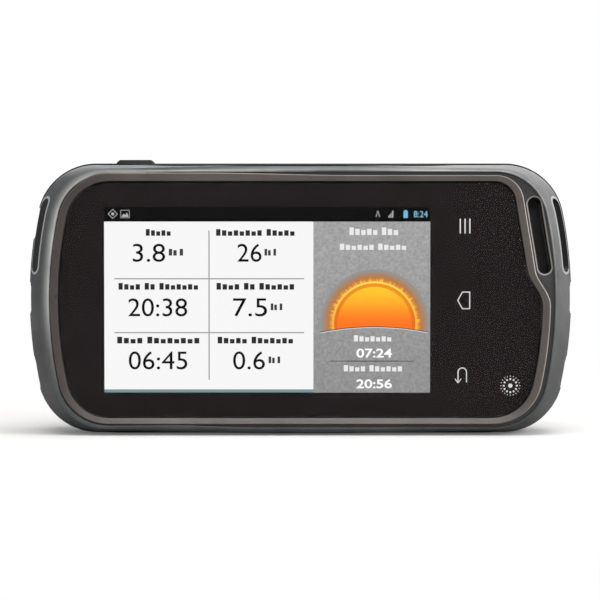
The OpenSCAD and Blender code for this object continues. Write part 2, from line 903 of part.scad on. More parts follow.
module audio_cap() {
    color("black") weather_cap(audio_cap_low, audio_cap_h);
}

// Battery and cover ------------------------------------------------------

module battery_pack() {
    color("black") block(bay_left + battery_gap, bay_right - battery_gap, battery_front, battery_back,
                         -battery_h / 2, battery_h / 2);
}

function cover_outline(inset) = box_outline(cover_x1 + inset, cover_x2 - inset,
    -cover_h / 2 + inset, cover_h / 2 - inset, cover_r - inset);

module battery_cover() {
    color("dimgray") difference() {
        union() {
            loft([[cover_under, cover_outline(0)], [rear_d, cover_outline(0)],
                  [rear_d + 1.2, cover_outline(1.4)], [pad_d, cover_outline(4)]]);
            block(spine_x1, spine_x2, pad_d - 0.2, case_d - spine_lip_t + 0.1,
                  -spine_neck_w / 2, spine_neck_w / 2);
            block(spine_x1, spine_x2, case_d - spine_lip_t, case_d, -spine_w / 2, spine_w / 2);
        }
        rod(latch_x, 0, bow_r + wire_d / 2 + 0.8, latch_pad, case_d + cut);
        rod(latch_x, 0, spindle_d / 2 + slip, cover_under - cut, case_d + cut);
    }
}

module cover_seal() {
    color("darkorange") slab(seat_d, cover_under) difference() {
        cover_2d(-0.8);
        cover_2d(-2.2);
    }
}

module latch_spindle() {
    color("silver") {
        rod(latch_x, 0, cam_pin_r, cam_front, cam_back + 0.1);
        rod(latch_x, 0, spindle_d / 2, cam_back, latch_pad + 0.1);
        rod(latch_x, 0, head_d / 2, latch_pad + 0.05, head_back);
        for (s = [-1, 1])
            lug(s * (lug_in + lug_out) / 2);
    }
}

module lug(z) {
    w = lug_out - lug_in;
    r = wire_d / 2 + 0.6;
    difference() {
        union() {
            block(latch_x - r, latch_x + r, head_back - 0.1, ring_axis, z - w / 2, z + w / 2);
            translate([latch_x, front_y + ring_axis, mid_z + z - w / 2]) cylinder(r = r, h = w);
        }
        translate([latch_x, front_y + ring_axis, mid_z + z - w]) cylinder(d = wire_d + 0.1, h = 2 * w);
    }
}

module latch_cam() {
    color("silver") difference() {
        slab(cam_front, cam_back) translate([latch_x, 0]) {
            square([cam_l - cam_w, cam_w], center = true);
            for (s = [-1, 1])
                translate([s * (cam_l - cam_w) / 2, 0]) circle(d = cam_w);
        }
        rod(latch_x, 0, cam_pin_r + 0.03, cam_front - cut, cam_back + cut);
    }
}

module lifting_ring() {
    color("silver") translate([latch_x, front_y + ring_axis, mid_z]) {
        translate([0, 0, -bow_r]) cylinder(d = wire_d, h = 2 * bow_r);
        rotate([90, 0, 0]) rotate([0, 0, -90]) rotate_extrude(angle = 180) translate([bow_r, 0])
            circle(d = wire_d);
    }
}

bumper();
side_grip();
front_case();
bezel_ring();
cover_glass();
glass_adhesive();
display_panel();
display_backplate();
display_cable();
touch_key_board();
light_sensor();
main_board();
board_screws();
processor_shield();
radio_shield();
gps_antenna();
vibration_motor();
microphone();
battery_contacts();
card_holder();
memory_card();
housing_seal();
rear_housing();
case_screws();
power_key();
power_key_seal();
power_key_board();
volume_up_key();
volume_down_key();
volume_key_seals();
volume_key_board();
camera_module();
camera_window();
camera_cable();
flash_led();
flash_window();
speaker();
speaker_mesh();
port_board();
port_cable();
usb_port();
video_port();
headphone_jack();
port_cap();
audio_cap();
battery_pack();
battery_cover();
cover_seal();
latch_spindle();
latch_cam();
lifting_ring();
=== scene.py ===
"""Handheld navigation unit with a rubber bumper, a wide touch screen and a lift-off battery cover."""
import json
import math
import bmesh
import bpy
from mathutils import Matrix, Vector


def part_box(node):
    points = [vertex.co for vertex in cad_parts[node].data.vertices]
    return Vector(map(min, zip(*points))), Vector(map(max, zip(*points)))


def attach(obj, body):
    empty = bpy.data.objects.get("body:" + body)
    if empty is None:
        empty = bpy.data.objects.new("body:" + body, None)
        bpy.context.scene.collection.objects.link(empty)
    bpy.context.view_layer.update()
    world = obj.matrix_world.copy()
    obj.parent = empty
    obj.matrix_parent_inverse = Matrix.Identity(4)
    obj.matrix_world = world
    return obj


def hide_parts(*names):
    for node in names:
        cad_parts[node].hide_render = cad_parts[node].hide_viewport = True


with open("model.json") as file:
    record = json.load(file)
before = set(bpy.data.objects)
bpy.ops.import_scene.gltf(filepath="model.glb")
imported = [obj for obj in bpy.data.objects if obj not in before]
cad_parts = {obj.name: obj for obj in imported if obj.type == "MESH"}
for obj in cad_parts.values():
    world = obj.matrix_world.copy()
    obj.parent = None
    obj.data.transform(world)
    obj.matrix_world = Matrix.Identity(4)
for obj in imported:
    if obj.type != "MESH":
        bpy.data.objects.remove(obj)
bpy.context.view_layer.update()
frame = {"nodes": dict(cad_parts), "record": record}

# Camera -----------------------------------------------------------------
# It stands most of a metre in front of the glass and looks slightly down on it.
MM = 0.001
core_low, core_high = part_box("front_case")
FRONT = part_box("bezel_ring")[0].y / MM
MIDDLE = (core_low.z + core_high.z) / 2 / MM
camera_distance, camera_x, view_width, sensor_width = 0.8, -0.00012, 0.16345, 36
camera_pitch = math.radians(2.6)
camera_data = bpy.data.cameras.new("camera")
camera_data.sensor_width = sensor_width
camera_data.lens = sensor_width * camera_distance / view_width
camera_data.clip_start = 0.05
camera = bpy.data.objects.new("camera", camera_data)
bpy.context.scene.collection.objects.link(camera)
camera.location = (camera_x, FRONT * MM - camera_distance * math.cos(camera_pitch),
                   MIDDLE * MM + camera_distance * math.sin(camera_pitch))
camera.rotation_euler = (math.pi / 2 - camera_pitch, 0, 0)
bpy.context.scene.camera = camera
bpy.context.scene.view_settings.view_transform = "Standard"


# Studio -----------------------------------------------------------------
# A white floor that keeps the unit's shadow, a white surround, and large soft lamps
# above, at both sides and behind the camera.
def feed(tree, target, inputs):
    """Sets a node's inputs, by name or number, to plain values or links them to other nodes."""
    for name, value in inputs.items():
        if isinstance(value, bpy.types.Node):
            value = next(socket for socket in value.outputs if socket.enabled)
        if isinstance(value, bpy.types.NodeSocket):
            tree.links.new(value, target.inputs[name])
        else:
            target.inputs[name].default_value = value


def node(tree, kind, inputs=None, **settings):
    """A node with its own settings, and its inputs set or linked."""
    made = tree.nodes.new(kind)
    for name, value in settings.items():
        setattr(made, name, value)
    feed(tree, made, inputs or {})
    return made


def new_material(name):
    """A material, with its node tree and its shader."""
    material = bpy.data.materials.new(name)
    material.use_nodes = True
    return material, material.node_tree, material.node_tree.nodes["Principled BSDF"]


def in_scene(name, data, place=(0, 0, 0)):
    """A new object in the scene."""
    made = bpy.data.objects.new(name, data)
    bpy.context.scene.collection.objects.link(made)
    made.location = place
    return made


def seen_by_eye(tree):
    """A mask of rays that come from the eye, straight or through glass."""
    path = node(tree, "ShaderNodeLightPath").outputs
    return node(tree, "ShaderNodeMath", {0: path["Is Camera Ray"], 1: path["Is Transmission Ray"]},
                operation="MAXIMUM")


def make_floor(near, far):
    """A round board under the unit. To the eye it melts into white between two (distance, share) pairs."""
    mesh = bpy.data.meshes.new("floor")
    steps, radius = 96, 3.0
    turns = [2 * math.pi * k / steps for k in range(steps)]
    edge = [(radius * math.cos(a), radius * math.sin(a), 0) for a in turns]
    mesh.from_pydata(edge, [], [list(range(steps))])
    material, tree, shader = new_material("floor board")
    tone = node(tree, "ShaderNodeMix", {"A": (0.4, 0.39, 0.38, 1), "B": (0.78, 0.78, 0.78, 1),
                                        "Factor": node(tree, "ShaderNodeLightPath").outputs["Is Camera Ray"]},
                data_type="RGBA")
    feed(tree, shader, {"Base Color": tone, "Roughness": 0.7, "Specular IOR Level": 0.1})
    coords = node(tree, "ShaderNodeTexCoord")
    away = node(tree, "ShaderNodeVectorMath", {0: coords.outputs["Object"]}, operation="LENGTH")
    rise = node(tree, "ShaderNodeMapRange", {"Value": away, "From Min": near[0], "From Max": far[0],
                                             "To Min": near[1], "To Max": far[1]},
                interpolation_type="SMOOTHSTEP")
    part = node(tree, "ShaderNodeMath", {0: seen_by_eye(tree), 1: rise}, operation="MULTIPLY")
    white = node(tree, "ShaderNodeEmission", {"Color": (1, 1, 1, 1)})
    mix = node(tree, "ShaderNodeMixShader", {"Fac": part, 1: shader, 2: white})
    feed(tree, tree.nodes["Material Output"], {"Surface": mix})
    mesh.materials.append(material)
    in_scene("floor", mesh)


def make_lamp(name, place, size, watts, tint=(1, 1, 1)):
    """A soft lamp aimed at the middle of the unit."""
    data = bpy.data.lights.new(name, "AREA")
    data.shape = "RECTANGLE"
    data.size, data.size_y = size
    data.energy = watts
    data.color = tint
    lamp = in_scene(name, data, place)
    lamp.rotation_euler = (Vector((0, 0, MIDDLE * MM)) - Vector(place)).to_track_quat("-Z", "Y").to_euler()


def make_surround(lit_level):
    """A plain white world whose light on the unit is kept low."""
    world = bpy.data.worlds.new("surround")
    bpy.context.scene.world = world
    world.use_nodes = True
    tree = world.node_tree
    soft = tree.nodes["Background"]
    feed(tree, soft, {"Color": (1, 1, 1, 1), "Strength": lit_level})
    white = node(tree, "ShaderNodeBackground", {"Color": (1, 1, 1, 1)})
    mix = node(tree, "ShaderNodeMixShader", {"Fac": seen_by_eye(tree), 1: soft, 2: white})
    feed(tree, tree.nodes["World Output"], {"Surface": mix})


make_floor(near=(0.1, 0.12), far=(0.3, 1.0))
make_surround(0.3)
make_lamp("top_lamp", (0.1, -0.12, 1.0), (1.1, 0.7), 11, tint=(1.0, 0.97, 0.94))
make_lamp("left_lamp", (-0.95, -0.35, 0.4), (0.4, 0.8), 1.3, tint=(0.93, 0.97, 1.0))
make_lamp("back_lamp", (0.1, 1.0, 0.5), (1.2, 0.3), 2)
make_lamp("right_lamp", (0.95, -0.5, 0.5), (0.5, 0.8), 8.5)
make_lamp("front_lamp", (0.1, -1.5, 0.75), (0.9, 0.5), 5)


# Bumper band ------------------------------------------------------------
# Two parts of one band round the case: the hard bumper in front and the soft grip behind,
# which meet at a wavy seam. Both are moulded over the case, with treads in the two ends.
BUMPER_END, BUMPER_SIDE = 5.6, 2.3
CORE_HL = core_high.x / MM
CORE_HH = (core_high.z - core_low.z) / 2 / MM
CASE_HL, CASE_HH = CORE_HL + BUMPER_END, CORE_HH + BUMPER_SIDE
CORNER_R, END_BULGE = 16.5, 118
BAND_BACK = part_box("side_grip")[1].y / MM - FRONT
TREAD_DEPTH, TREAD_H, TREAD_PITCH = 0.9, 8.6, 20.6
STEPS = {"corner": 20, "end": 132, "side": 60}


def place(x, depth, height):
    """A point from millimetres along the unit, behind the front face and above the middle line."""
    return Vector((x * MM, (FRONT + depth) * MM, (MIDDLE + height) * MM))


def arc(cx, cz, r, start, end, steps, whole=False):
    """Points along an arc, angles in degrees; the last one is left out unless it is whole."""
    turn = [math.radians(start + (end - start) * k / steps) for k in range(steps + (1 if whole else 0))]
    return [(cx + r * math.cos(a), cz + r * math.sin(a)) for a in turn]


def run(start, end, steps):
    """Evenly spaced points from start up to, but not at, end."""
    return [(start[0] + (end[0] - start[0]) * k / steps, start[1] + (end[1] - start[1]) * k / steps)
            for k in range(steps)]


def case_outline(hl, hh, r, bulge, corner, end, side):
    """Straight long sides, round corners and a long shallow curve at each end."""
    c = hl - bulge
    cx = c + math.sqrt((bulge - r) ** 2 - (hh - r) ** 2)
    cz = hh - r
    t = math.degrees(math.atan2(cz, cx - c))
    return (run((-cx, -hh), (cx, -hh), side) + arc(cx, -cz, r, 270, 360 - t, corner)
            + arc(c, 0, bulge, -t, t, end) + arc(cx, cz, r, t, 90, corner)
            + run((cx, hh), (-cx, hh), side) + arc(-cx, cz, r, 90, 180 - t, corner)
            + arc(-c, 0, bulge, 180 - t, 180 + t, end) + arc(-cx, -cz, r, 180 + t, 270, corner))


def shell_outline(inset):
    """The case's outer outline, let in."""
    return case_outline(CASE_HL - inset, CASE_HH - inset, CORNER_R - inset, END_BULGE - inset, **STEPS)


def core_outline(grow):
    """The outline of the case inside the bumper, grown."""
    return case_outline(CORE_HL + grow, CORE_HH + grow, CORNER_R - BUMPER_SIDE + grow,
                        END_BULGE - BUMPER_END + grow, **STEPS)


def ease(x):
    """From 0 to 1 without a corner at either end."""
    x = min(1.0, max(0.0, x))
    return x * x * (3 - 2 * x)


SEAM_SHALLOW, SEAM_DROP, SEAM_FLAT, SEAM_SHORT = 3.6, 10.4, 28, 35


def seam_depth(x):
    """Depth of the seam between bumper and grip, deep at the ends and shallow mid-way."""
    k = min(1.0, max(0.0, (abs(x) - SEAM_FLAT) / (CASE_HL - SEAM_SHORT)))
    return SEAM_SHALLOW + SEAM_DROP * (1 - math.cos(math.pi * k)) / 2


def tread_dip(x, z):
    """How far a tread notch dips here: three in the left end, two in the right."""
    dips = [0.0]
    for row in (-1, 0, 1):
        if x > 0 and row == 1:
            continue
        away = abs(z - row * TREAD_PITCH)
        dips.append(TREAD_DEPTH * (1 - ease((away - TREAD_H / 2 + 1.0) / 1.1)))
    return max(dips) if abs(x) > 50 else 0.0


def new_piece(name, vertices, faces, sharp=35):
    """An object at the origin from a closed mesh, its faces turned outwards and shaded smooth."""
    mesh = bpy.data.meshes.new(name)
    mesh.from_pydata([tuple(v) for v in vertices], [], faces)
    work = bmesh.new()
    work.from_mesh(mesh)
    bmesh.ops.recalc_face_normals(work, faces=work.faces)
    work.to_mesh(mesh)
    work.free()
    piece = in_scene(name, mesh)
    smooth(piece, sharp)
    return piece


def smooth(piece, sharp=35):
    """Smooth shading, but for edges sharper than an angle."""
    piece.data.shade_smooth()
    piece.data.set_sharp_from_angle(angle=math.radians(sharp))


def skin(rings, closed):
    """Vertices and faces of a skin through equal rings; a closed one joins its last ring to its first."""
    size, count = len(rings[0]), len(rings)
    vertices = [p for ring in rings for p in ring]
    faces = []
    for k in range(count if closed else count - 1):
        low, high = k * size, (k + 1) % count * size
        faces += [(low + i, low + (i + 1) % size, high + (i + 1) % size, high + i) for i in range(size)]
    if not closed:
        faces += [tuple(range(size)), tuple(range((count - 1) * size, count * size))]
    return vertices, faces


def prism(name, outline, low, high, along="depth"):
    """A block between two levels: its outline is (x, height) along the depth, (depth, height) along
    the unit's length, or (x, depth) along its height."""
    spot = {"depth": lambda a, b, level: place(a, level, b), "length": lambda a, b, level: place(level, a, b),
            "height": place}[along]
    rings = [[spot(a, b, level) for a, b in outline] for level in (low, high)]
    return new_piece(name, *skin(rings, closed=False))


def combine(operation, piece, *tools, sharp=35):
    """Adds tools to a piece or takes them out of it, one by one, and deletes them."""
    for tool in tools:
        step = piece.modifiers.new(operation, "BOOLEAN")
        step.operation, step.solver, step.object = operation, "EXACT", tool
        settle(piece)
        bpy.data.objects.remove(tool)
    smooth(piece, sharp)
    return piece


def cut(piece, *tools, sharp=35):
    """Takes tools out of a piece."""
    return combine("DIFFERENCE", piece, *tools, sharp=sharp)


def settle(piece):
    """Makes what a piece's modifiers show its own mesh."""
    shown = piece.evaluated_get(bpy.context.evaluated_depsgraph_get())
    mesh = bpy.data.meshes.new_from_object(shown)
    piece.modifiers.clear()
    old = piece.data
    piece.data = mesh
    mesh.name = piece.name
    bpy.data.meshes.remove(old)


inner_line, outer_line = core_outline(0.05), shell_outline(0)
thickness = [math.dist(a, b) for a, b in zip(inner_line, outer_line)]


def band_point(i, share, depth, dip=0.0):
    """A point of the band: share 0 is its inner wall, share 1 its outer face, less a dip."""
    t = thickness[i]
    (ax, az), (bx, bz) = inner_line[i], outer_line[i]
    if share > 0.3:
        share = min(share, 1 - tread_dip(bx, bz) / t)
    share -= dip / t
    return place(ax + (bx - ax) * share, depth, az + (bz - az) * share)


def outer_share(i, depth):
    """How far out the band's face is at a depth. It slopes in towards the front, most at the ends."""
    slope_back, slope_run, slope_at_side, slope_at_end = 10, 9.5, 0.55, 5.1
    nose_in, nose_front, nose_run = 1.3, 0.45, 1.9
    t, rest = thickness[i], min(1.0, max(0.0, (slope_back - depth) / slope_run))
    at_end = min(1.0, max(0.0, (t - BUMPER_SIDE) / (BUMPER_END - BUMPER_SIDE)))
    nose = nose_in * max(0.0, 1 - (depth - nose_front) / nose_run) ** 1.6
    return 1 - ((nose + slope_at_side * rest) * (1 - at_end) + slope_at_end * rest ** 1.12 * at_end) / t


def lip_reach(i):
    """How far the bumper's crest reaches in over the case, up to the bezel ring at the left end."""
    x, z = inner_line[i]
    return 0.02 + 1.0 * ease((-x - (30 if z > 0 else 12)) / 26)


def face_ring(depths, dip=0.0, show=0.0):
    """A ring of points on the band's face, let in by a dip or at least by what has to show."""
    return [band_point(i, min(outer_share(i, depth), 1 - show / thickness[i]), depth, dip)
            for i, depth in enumerate(depths)]


seam_edge = ((0.04, 0.16), (0.13, 0.05), (0.3, 0.0))
seam_lip, crest_depth, inner_foot = 0.3, 0.5, 0.86
crest_curve = ((0, 0.86), (0, 0.6), (0.06, 0.48), (0.3, 0.41), (0.65, 0.41))


def bumper_rings():
    """Rings of points from the foot of the inner wall over the lip and the crest to the seam."""
    seams = [seam_depth(x) for x, _ in outer_line]
    lips = [lip_reach(i) / t for i, t in enumerate(thickness)]
    tops = [outer_share(i, crest_depth) for i in range(len(seams))]
    rings = [[band_point(i, 0, seam) for i, seam in enumerate(seams)],
             [band_point(i, 0, inner_foot) for i in range(len(seams))]]
    for part, depth in crest_curve:
        rings.append([band_point(i, (tops[i] + lips[i]) * part - lips[i], depth) for i in range(len(seams))])
    rows, show = 26, 0.7
    for k in range(rows + 1):
        rings.append(face_ring([crest_depth + (seam - seam_lip - crest_depth) * (k / rows) ** 1.3
                                for seam in seams], show=show))
    for dip, rest in seam_edge:
        rings.append(face_ring([seam - rest for seam in seams], dip, show))
    return rings


def grip_rings():
    """Rings of points from the seam over the outer face and round the back edge."""
    seams = [seam_depth(x) + 0.1 for x, _ in outer_line]
    rings = [[band_point(i, 0, seam) for i, seam in enumerate(seams)]]
    for dip, rest in reversed(seam_edge):
        rings.append(face_ring([seam + rest for seam in seams], dip))
    rows, edge_r = 20, 0.8
    back = BAND_BACK - edge_r
    for k in range(rows + 1):
        rings.append(face_ring([seam + seam_lip + (back - seam - seam_lip) * k / rows for seam in seams]))
    for turn in (22.5, 45, 67.5, 90):
        a = math.radians(turn)
        rings.append([band_point(i, 1, back + edge_r * math.sin(a), edge_r * (1 - math.cos(a)))
                      for i in range(len(seams))])
    rings.append([band_point(i, 0, BAND_BACK) for i in range(len(seams))])
    return rings


def stadium(cx, cz, r, half_run, lean=0, steps=16):
    """A slot with round ends, upright unless it leans, as (x, height)."""
    flat = [(x, half_run + z) for x, z in arc(0, 0, r, 0, 180, steps, whole=True)]
    flat += [(x, z - half_run) for x, z in arc(0, 0, r, 180, 360, steps, whole=True)]
    s, c = math.sin(math.radians(lean)), math.cos(math.radians(lean))
    return [(cx + x * c - z * s, cz + x * s + z * c) for x, z in flat]


def new_group(name, kind, inputs, outputs):
    """A node group with its sockets, and its own start and end inside."""
    group = bpy.data.node_groups.new(name, kind)
    for in_out, sockets in (("INPUT", inputs), ("OUTPUT", outputs)):
        for label, sort, *value in sockets:
            socket = group.interface.new_socket(label, in_out=in_out, socket_type="NodeSocket" + sort)
            if value:
                socket.default_value = value[0]
    return group, node(group, "NodeGroupInput").outputs, node(group, "NodeGroupOutput")


def colour_drift():
    """Shader group: fine grain as a height, and slow drifts of tone and of handling over a surface."""
    group, start, end = new_group(
        "grain and drift", "ShaderNodeTree",
        (("Vector", "Vector"), ("Grain", "Float", 3000.0), ("Drift", "Float", 60.0)),
        (("Height", "Float"), ("Tone", "Float"), ("Handled", "Float")))
    grained, drifting = ({"Vector": start["Vector"], "Scale": start[name]} for name in ("Grain", "Drift"))
    pebbles = node(group, "ShaderNodeTexVoronoi", {**grained, "Smoothness": 0.6}, feature="SMOOTH_F1")
    fine = node(group, "ShaderNodeTexNoise", {**grained, "Detail": 3})
    slow = node(group, "ShaderNodeTexNoise", {**drifting, "Detail": 5, "Roughness": 0.62})
    closer = node(group, "ShaderNodeMath", {0: start["Drift"], 1: 2.3}, operation="MULTIPLY")
    patches = node(group, "ShaderNodeTexNoise", {"Vector": start["Vector"], "Scale": closer, "Detail": 2})
    feed(group, end, {
        "Height": node(group, "ShaderNodeMath", {0: pebbles, 1: fine}, operation="ADD"),
        "Tone": node(group, "ShaderNodeMapRange", {"Value": slow, "From Min": 0.3, "From Max": 0.7}),
        "Handled": node(group, "ShaderNodeMapRange", {"Value": patches, "From Min": 0.5, "From Max": 0.75},
                        interpolation_type="SMOOTHSTEP")})
    return group


GRAIN_AND_DRIFT = colour_drift()


def rim_mask():
    """Shader group: masks along the edge and over the inside of a slot with round ends."""
    group, start, end = new_group("rim of a slot", "ShaderNodeTree",
                                  [(name, "Vector") for name in ("Middle", "Across", "Along")]
                                  + [(name, "Float") for name in ("Radius", "Half run", "Width")],
                                  (("Mask", "Float"), ("Inside", "Float")))

    def maths(kind, first, second=0.0):
        return node(group, "ShaderNodeMath", {0: first, 1: second}, operation=kind)

    coords = node(group, "ShaderNodeTexCoord")
    away = node(group, "ShaderNodeVectorMath", {0: coords.outputs["Object"], 1: start["Middle"]},
                operation="SUBTRACT")
    across, along = (node(group, "ShaderNodeVectorMath", {0: away, 1: start[name]}, operation="DOT_PRODUCT")
                     for name in ("Across", "Along"))
    over = maths("MAXIMUM", maths("SUBTRACT", maths("ABSOLUTE", along), start["Half run"]))
    pair = node(group, "ShaderNodeCombineXYZ", {"X": across, "Y": over})
    far = node(group, "ShaderNodeVectorMath", {0: pair}, operation="LENGTH")
    outside = maths("SUBTRACT", far, start["Radius"])
    fade = node(group, "ShaderNodeMapRange", {"Value": maths("ABSOLUTE", outside), "To Min": 1, "To Max": 0,
                                              "From Max": start["Width"]}, interpolation_type="SMOOTHSTEP")
    feed(group, end, {"Mask": fade, "Inside": maths("LESS_THAN", outside, 0.06 * MM)})
    return group


RIM_MASK = rim_mask()


def linear(colour):
    """A colour written as six hex digits, as the shader needs it."""
    parts = [int(colour[k:k + 2], 16) / 255 for k in (0, 2, 4)]
    return [c / 12.92 if c <= 0.04045 else ((c + 0.055) / 1.055) ** 2.4 for c in parts] + [1.0]


def scaled(colour, share):
    """A colour made lighter or darker."""
    return [min(1.0, c * share) for c in colour[:3]] + [1.0]


def lay_over(material, mask, colour):
    """Lays another colour over a finish where a mask says so."""
    tree = material.node_tree
    shader = tree.nodes["Principled BSDF"]
    under = shader.inputs["Base Color"].links[0].from_socket
    mixed = node(tree, "ShaderNodeMix", {"A": under, "B": linear(colour), "Factor": mask}, data_type="RGBA")
    feed(tree, shader, {"Base Color": mixed})


def paint_slot_highlight_and_shade(material, middle, across, along, radius, half_run, rim_at, width, colour):
    """Paints a highlight along the edge of a slot and paints near-black shade over the slot's inside."""
    # Painted highlight on the rim first, then painted shade (060606) over the inside of the slot.
    for output, out, tint in (("Mask", rim_at, colour), ("Inside", 0, "060606")):
        rim = node(material.node_tree, "ShaderNodeGroup", {
            "Middle": middle, "Across": across, "Along": along, "Radius": (radius + out) * MM,
            "Half run": half_run * MM, "Width": width * MM}, node_tree=RIM_MASK)
        lay_over(material, rim.outputs[output], tint)


def finish(name, colour, rough, grain=3000, bump=0.008, tone=0.1, metal=0.0, drift=60, highlight_attribute=None,
           highlight_colour="b0b2b3", **plain):
    """A grained finish: a colour that drifts by a share of itself, roughness that changes where it
    is handled, and a bump in millimetres. The named attribute, if any, marks edges that get a painted
    highlight."""
    material, tree, shader = new_material(name)
    coords = node(tree, "ShaderNodeTexCoord")
    detail = node(tree, "ShaderNodeGroup", {"Vector": coords.outputs["Object"], "Grain": grain,
                                           "Drift": drift},
                  node_tree=GRAIN_AND_DRIFT).outputs
    dark, light = (scaled(linear(colour), 1 + change) for change in (-tone, tone))
    tint = node(tree, "ShaderNodeMix", {"A": dark, "B": light, "Factor": detail["Tone"]}, data_type="RGBA")
    gloss = node(tree, "ShaderNodeMapRange", {"Value": detail["Handled"], "To Min": rough,
                                              "To Max": max(0.05, rough - 0.1)})
    feed(tree, shader, {"Base Color": tint, "Roughness": gloss, "Metallic": metal})
    feed(tree, shader, {socket.replace("_", " "): value for socket, value in plain.items()})
    # Painted highlight: a lighter colour laid over the edges the attribute marks, broken up a little by the
    # tone drift.
    if highlight_attribute:
        edge = node(tree, "ShaderNodeAttribute", attribute_name=highlight_attribute)
        most = node(tree, "ShaderNodeMapRange", {"Value": detail["Tone"], "To Min": 0.5, "To Max": 1})
        patchy = node(tree, "ShaderNodeMath", {0: edge.outputs["Fac"], 1: most}, operation="MULTIPLY")
        lay_over(material, patchy, highlight_colour)
    if bump:
        relief = node(tree, "ShaderNodeBump", {"Distance": bump * MM, "Height": detail["Height"]})
        feed(tree, shader, {"Normal": relief})
    return material


def dress(piece, material, slot, body, *nodes):
    """Gives a piece its material, its body and the nodes that it stands for; the slot is not used."""
    piece.data.materials.clear()
    piece.data.materials.append(material)
    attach(piece, body)
    if nodes:
        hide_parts(*nodes)
    return piece


def round_box(x1, x2, z1, z2, r, steps=6):
    """A rectangle with round corners."""
    corners = ((x2 - r, z1 + r, 270), (x2 - r, z2 - r, 0), (x1 + r, z2 - r, 90), (x1 + r, z1 + r, 180))
    return [p for x, z, start in corners for p in arc(x, z, r, start, start + 90, steps, whole=True)]


def middle_of(name):
    """The middle of a CAD node's box."""
    low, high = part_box(name)
    return (low + high) / 2


# The satin coat gets a painted highlight in pale grey wherever the crest attribute set below says so.
bumper_coat = finish("satin bumper coat", "505355", 0.4, grain=2300, bump=0.02, tone=0.3, metal=0.35,
                     highlight_attribute="crest", highlight_colour="d6d6d4")
bumper = new_piece("bumper_band", *skin(bumper_rings(), closed=True))
# Painted highlight: bright along the crest over the left half, plus a milder painted lightening over the
# upper right of the face, where the lamps catch the band.
crest = bumper.data.attributes.new("crest", "FLOAT", "POINT")
crest_rows = {3: 0.6, 4: 1.0, 5: 0.85, 6: 0.4, 7: 0.28, 8: 0.24, 9: 0.2, 10: 0.15, 11: 0.1, 12: 0.05}
crest_highlight = []
for v in bumper.data.vertices:
    row, x, z = v.index // len(outer_line), v.co.x / MM, v.co.z / MM - MIDDLE
    left = ease((10 - x) / 30) * ease((z + 30) / 40)
    upper_right = ease((x - 10) / 30) * ease((z + 28) / 50)
    crest_highlight.append(crest_rows.get(row, 0.0) * left + (0.3 * upper_right if row > 3 else 0.0))
crest.data.foreach_set("value", crest_highlight)
slot_h, slot_run, slot_w = 17.5, 17.5, 3.2
side_slot_depth, side_slot_run = 4.6 + slot_w / 2, slot_run / 2 - 0.4
cut(bumper, prism("cutter", stadium(side_slot_depth, slot_h, slot_w / 2, side_slot_run), CORE_HL - 6,
                  CASE_HL + 3, along="length"))
# Painted highlight round the side slot's edge, and painted shade over its inside.
paint_slot_highlight_and_shade(bumper_coat, place(0, side_slot_depth, slot_h), (0, 1, 0), (0, 0, 1), slot_w / 2, side_slot_run,
         rim_at=0.5, width=0.5, colour="cfd2d4")
dress(bumper, bumper_coat, "bumper", "case", "bumper")

key_w, key_gap, key_flange, key_corner = 3.6, 0.3, 0.7, 0.8
key_depth = middle_of("power_key").y / MM - FRONT
key_names = ("power_key", "volume_up_key", "volume_down_key")


def cut_key_openings(piece, *openings):
    """Cuts openings for the side keys: each is grown by a gap, between two heights off the middle line."""
    for name in key_names:
        low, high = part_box(name)
        x, half = middle_of(name).x / MM, ((high.x - low.x) / MM - 2 * key_flange) / 2
        up = 1 if name == "power_key" else -1
        for gap, start, end in openings:
            outline = round_box(x - half - gap, x + half + gap, key_depth - key_w / 2 - gap,
                                key_depth + key_w / 2 + gap, key_corner + gap)
            cut(piece, prism("cutter", outline, up * start, up * end, along="height"))


grip_rubber = finish("grip rubber", "101011", 0.75, grain=3600, bump=0.03, tone=0.15,
                     Specular_IOR_Level=0.15)
side_grip = new_piece("grip_band", *skin(grip_rings(), closed=True))
cut_key_openings(side_grip, (key_gap, CORE_HH - 2, CASE_HH + 2))
dress(side_grip, grip_rubber, "side_grip", "case", "side_grip")


# Front case -------------------------------------------------------------
# The dark moulded tray behind the screen. It shows round the bezel ring as a narrow shoulder,
# and widens at the upper right corner for the lanyard slot, whose rim is rounded.
slot_x, slot_lean = CASE_HL - 9.9, 9.5


def cad_copy(name, node_name):
    """A copy of a CAD node's mesh with its split edges joined again."""
    work = bmesh.new()
    work.from_mesh(frame["nodes"][node_name].data)
    bmesh.ops.remove_doubles(work, verts=work.verts, dist=1e-7)
    bmesh.ops.dissolve_limit(work, angle_limit=math.radians(0.5), verts=work.verts, edges=work.edges)
    mesh = bpy.data.meshes.new(name)
    work.to_mesh(mesh)
    work.free()
    return in_scene(name, mesh)


def loft(name, outlines):
    """A closed skin through (depth, outline) pairs."""
    return new_piece(name, *skin([[place(x, d, z) for x, z in line] for d, line in outlines], closed=False))


front_case = cad_copy("front_case_tray", "front_case")
rim = [(-0.2, 0.62), (0.86, 0.62), (0.95, 0.44), (1.1, 0.26), (1.4, 0.1), (2.0, 0.0), (2.1, -0.05)]
cut(front_case, loft("cutter", [(d, stadium(slot_x, slot_h, slot_w / 2 + g, slot_run / 2, slot_lean))
                                for d, g in rim]))
case_plastic = finish("case plastic", "303032", 0.52, grain=3000, bump=0.04, tone=0.14)
lean = math.radians(slot_lean)
# Painted highlight round the lanyard slot's rim, and painted shade over its inside.
paint_slot_highlight_and_shade(case_plastic, place(slot_x, 0, slot_h), (math.cos(lean), 0, math.sin(lean)),
         (-math.sin(lean), 0, math.cos(lean)), slot_w / 2, slot_run / 2, rim_at=0.42, width=0.26,
         colour="a39d96")
dress(front_case, case_plastic, "case_plastic", "case", "front_case")


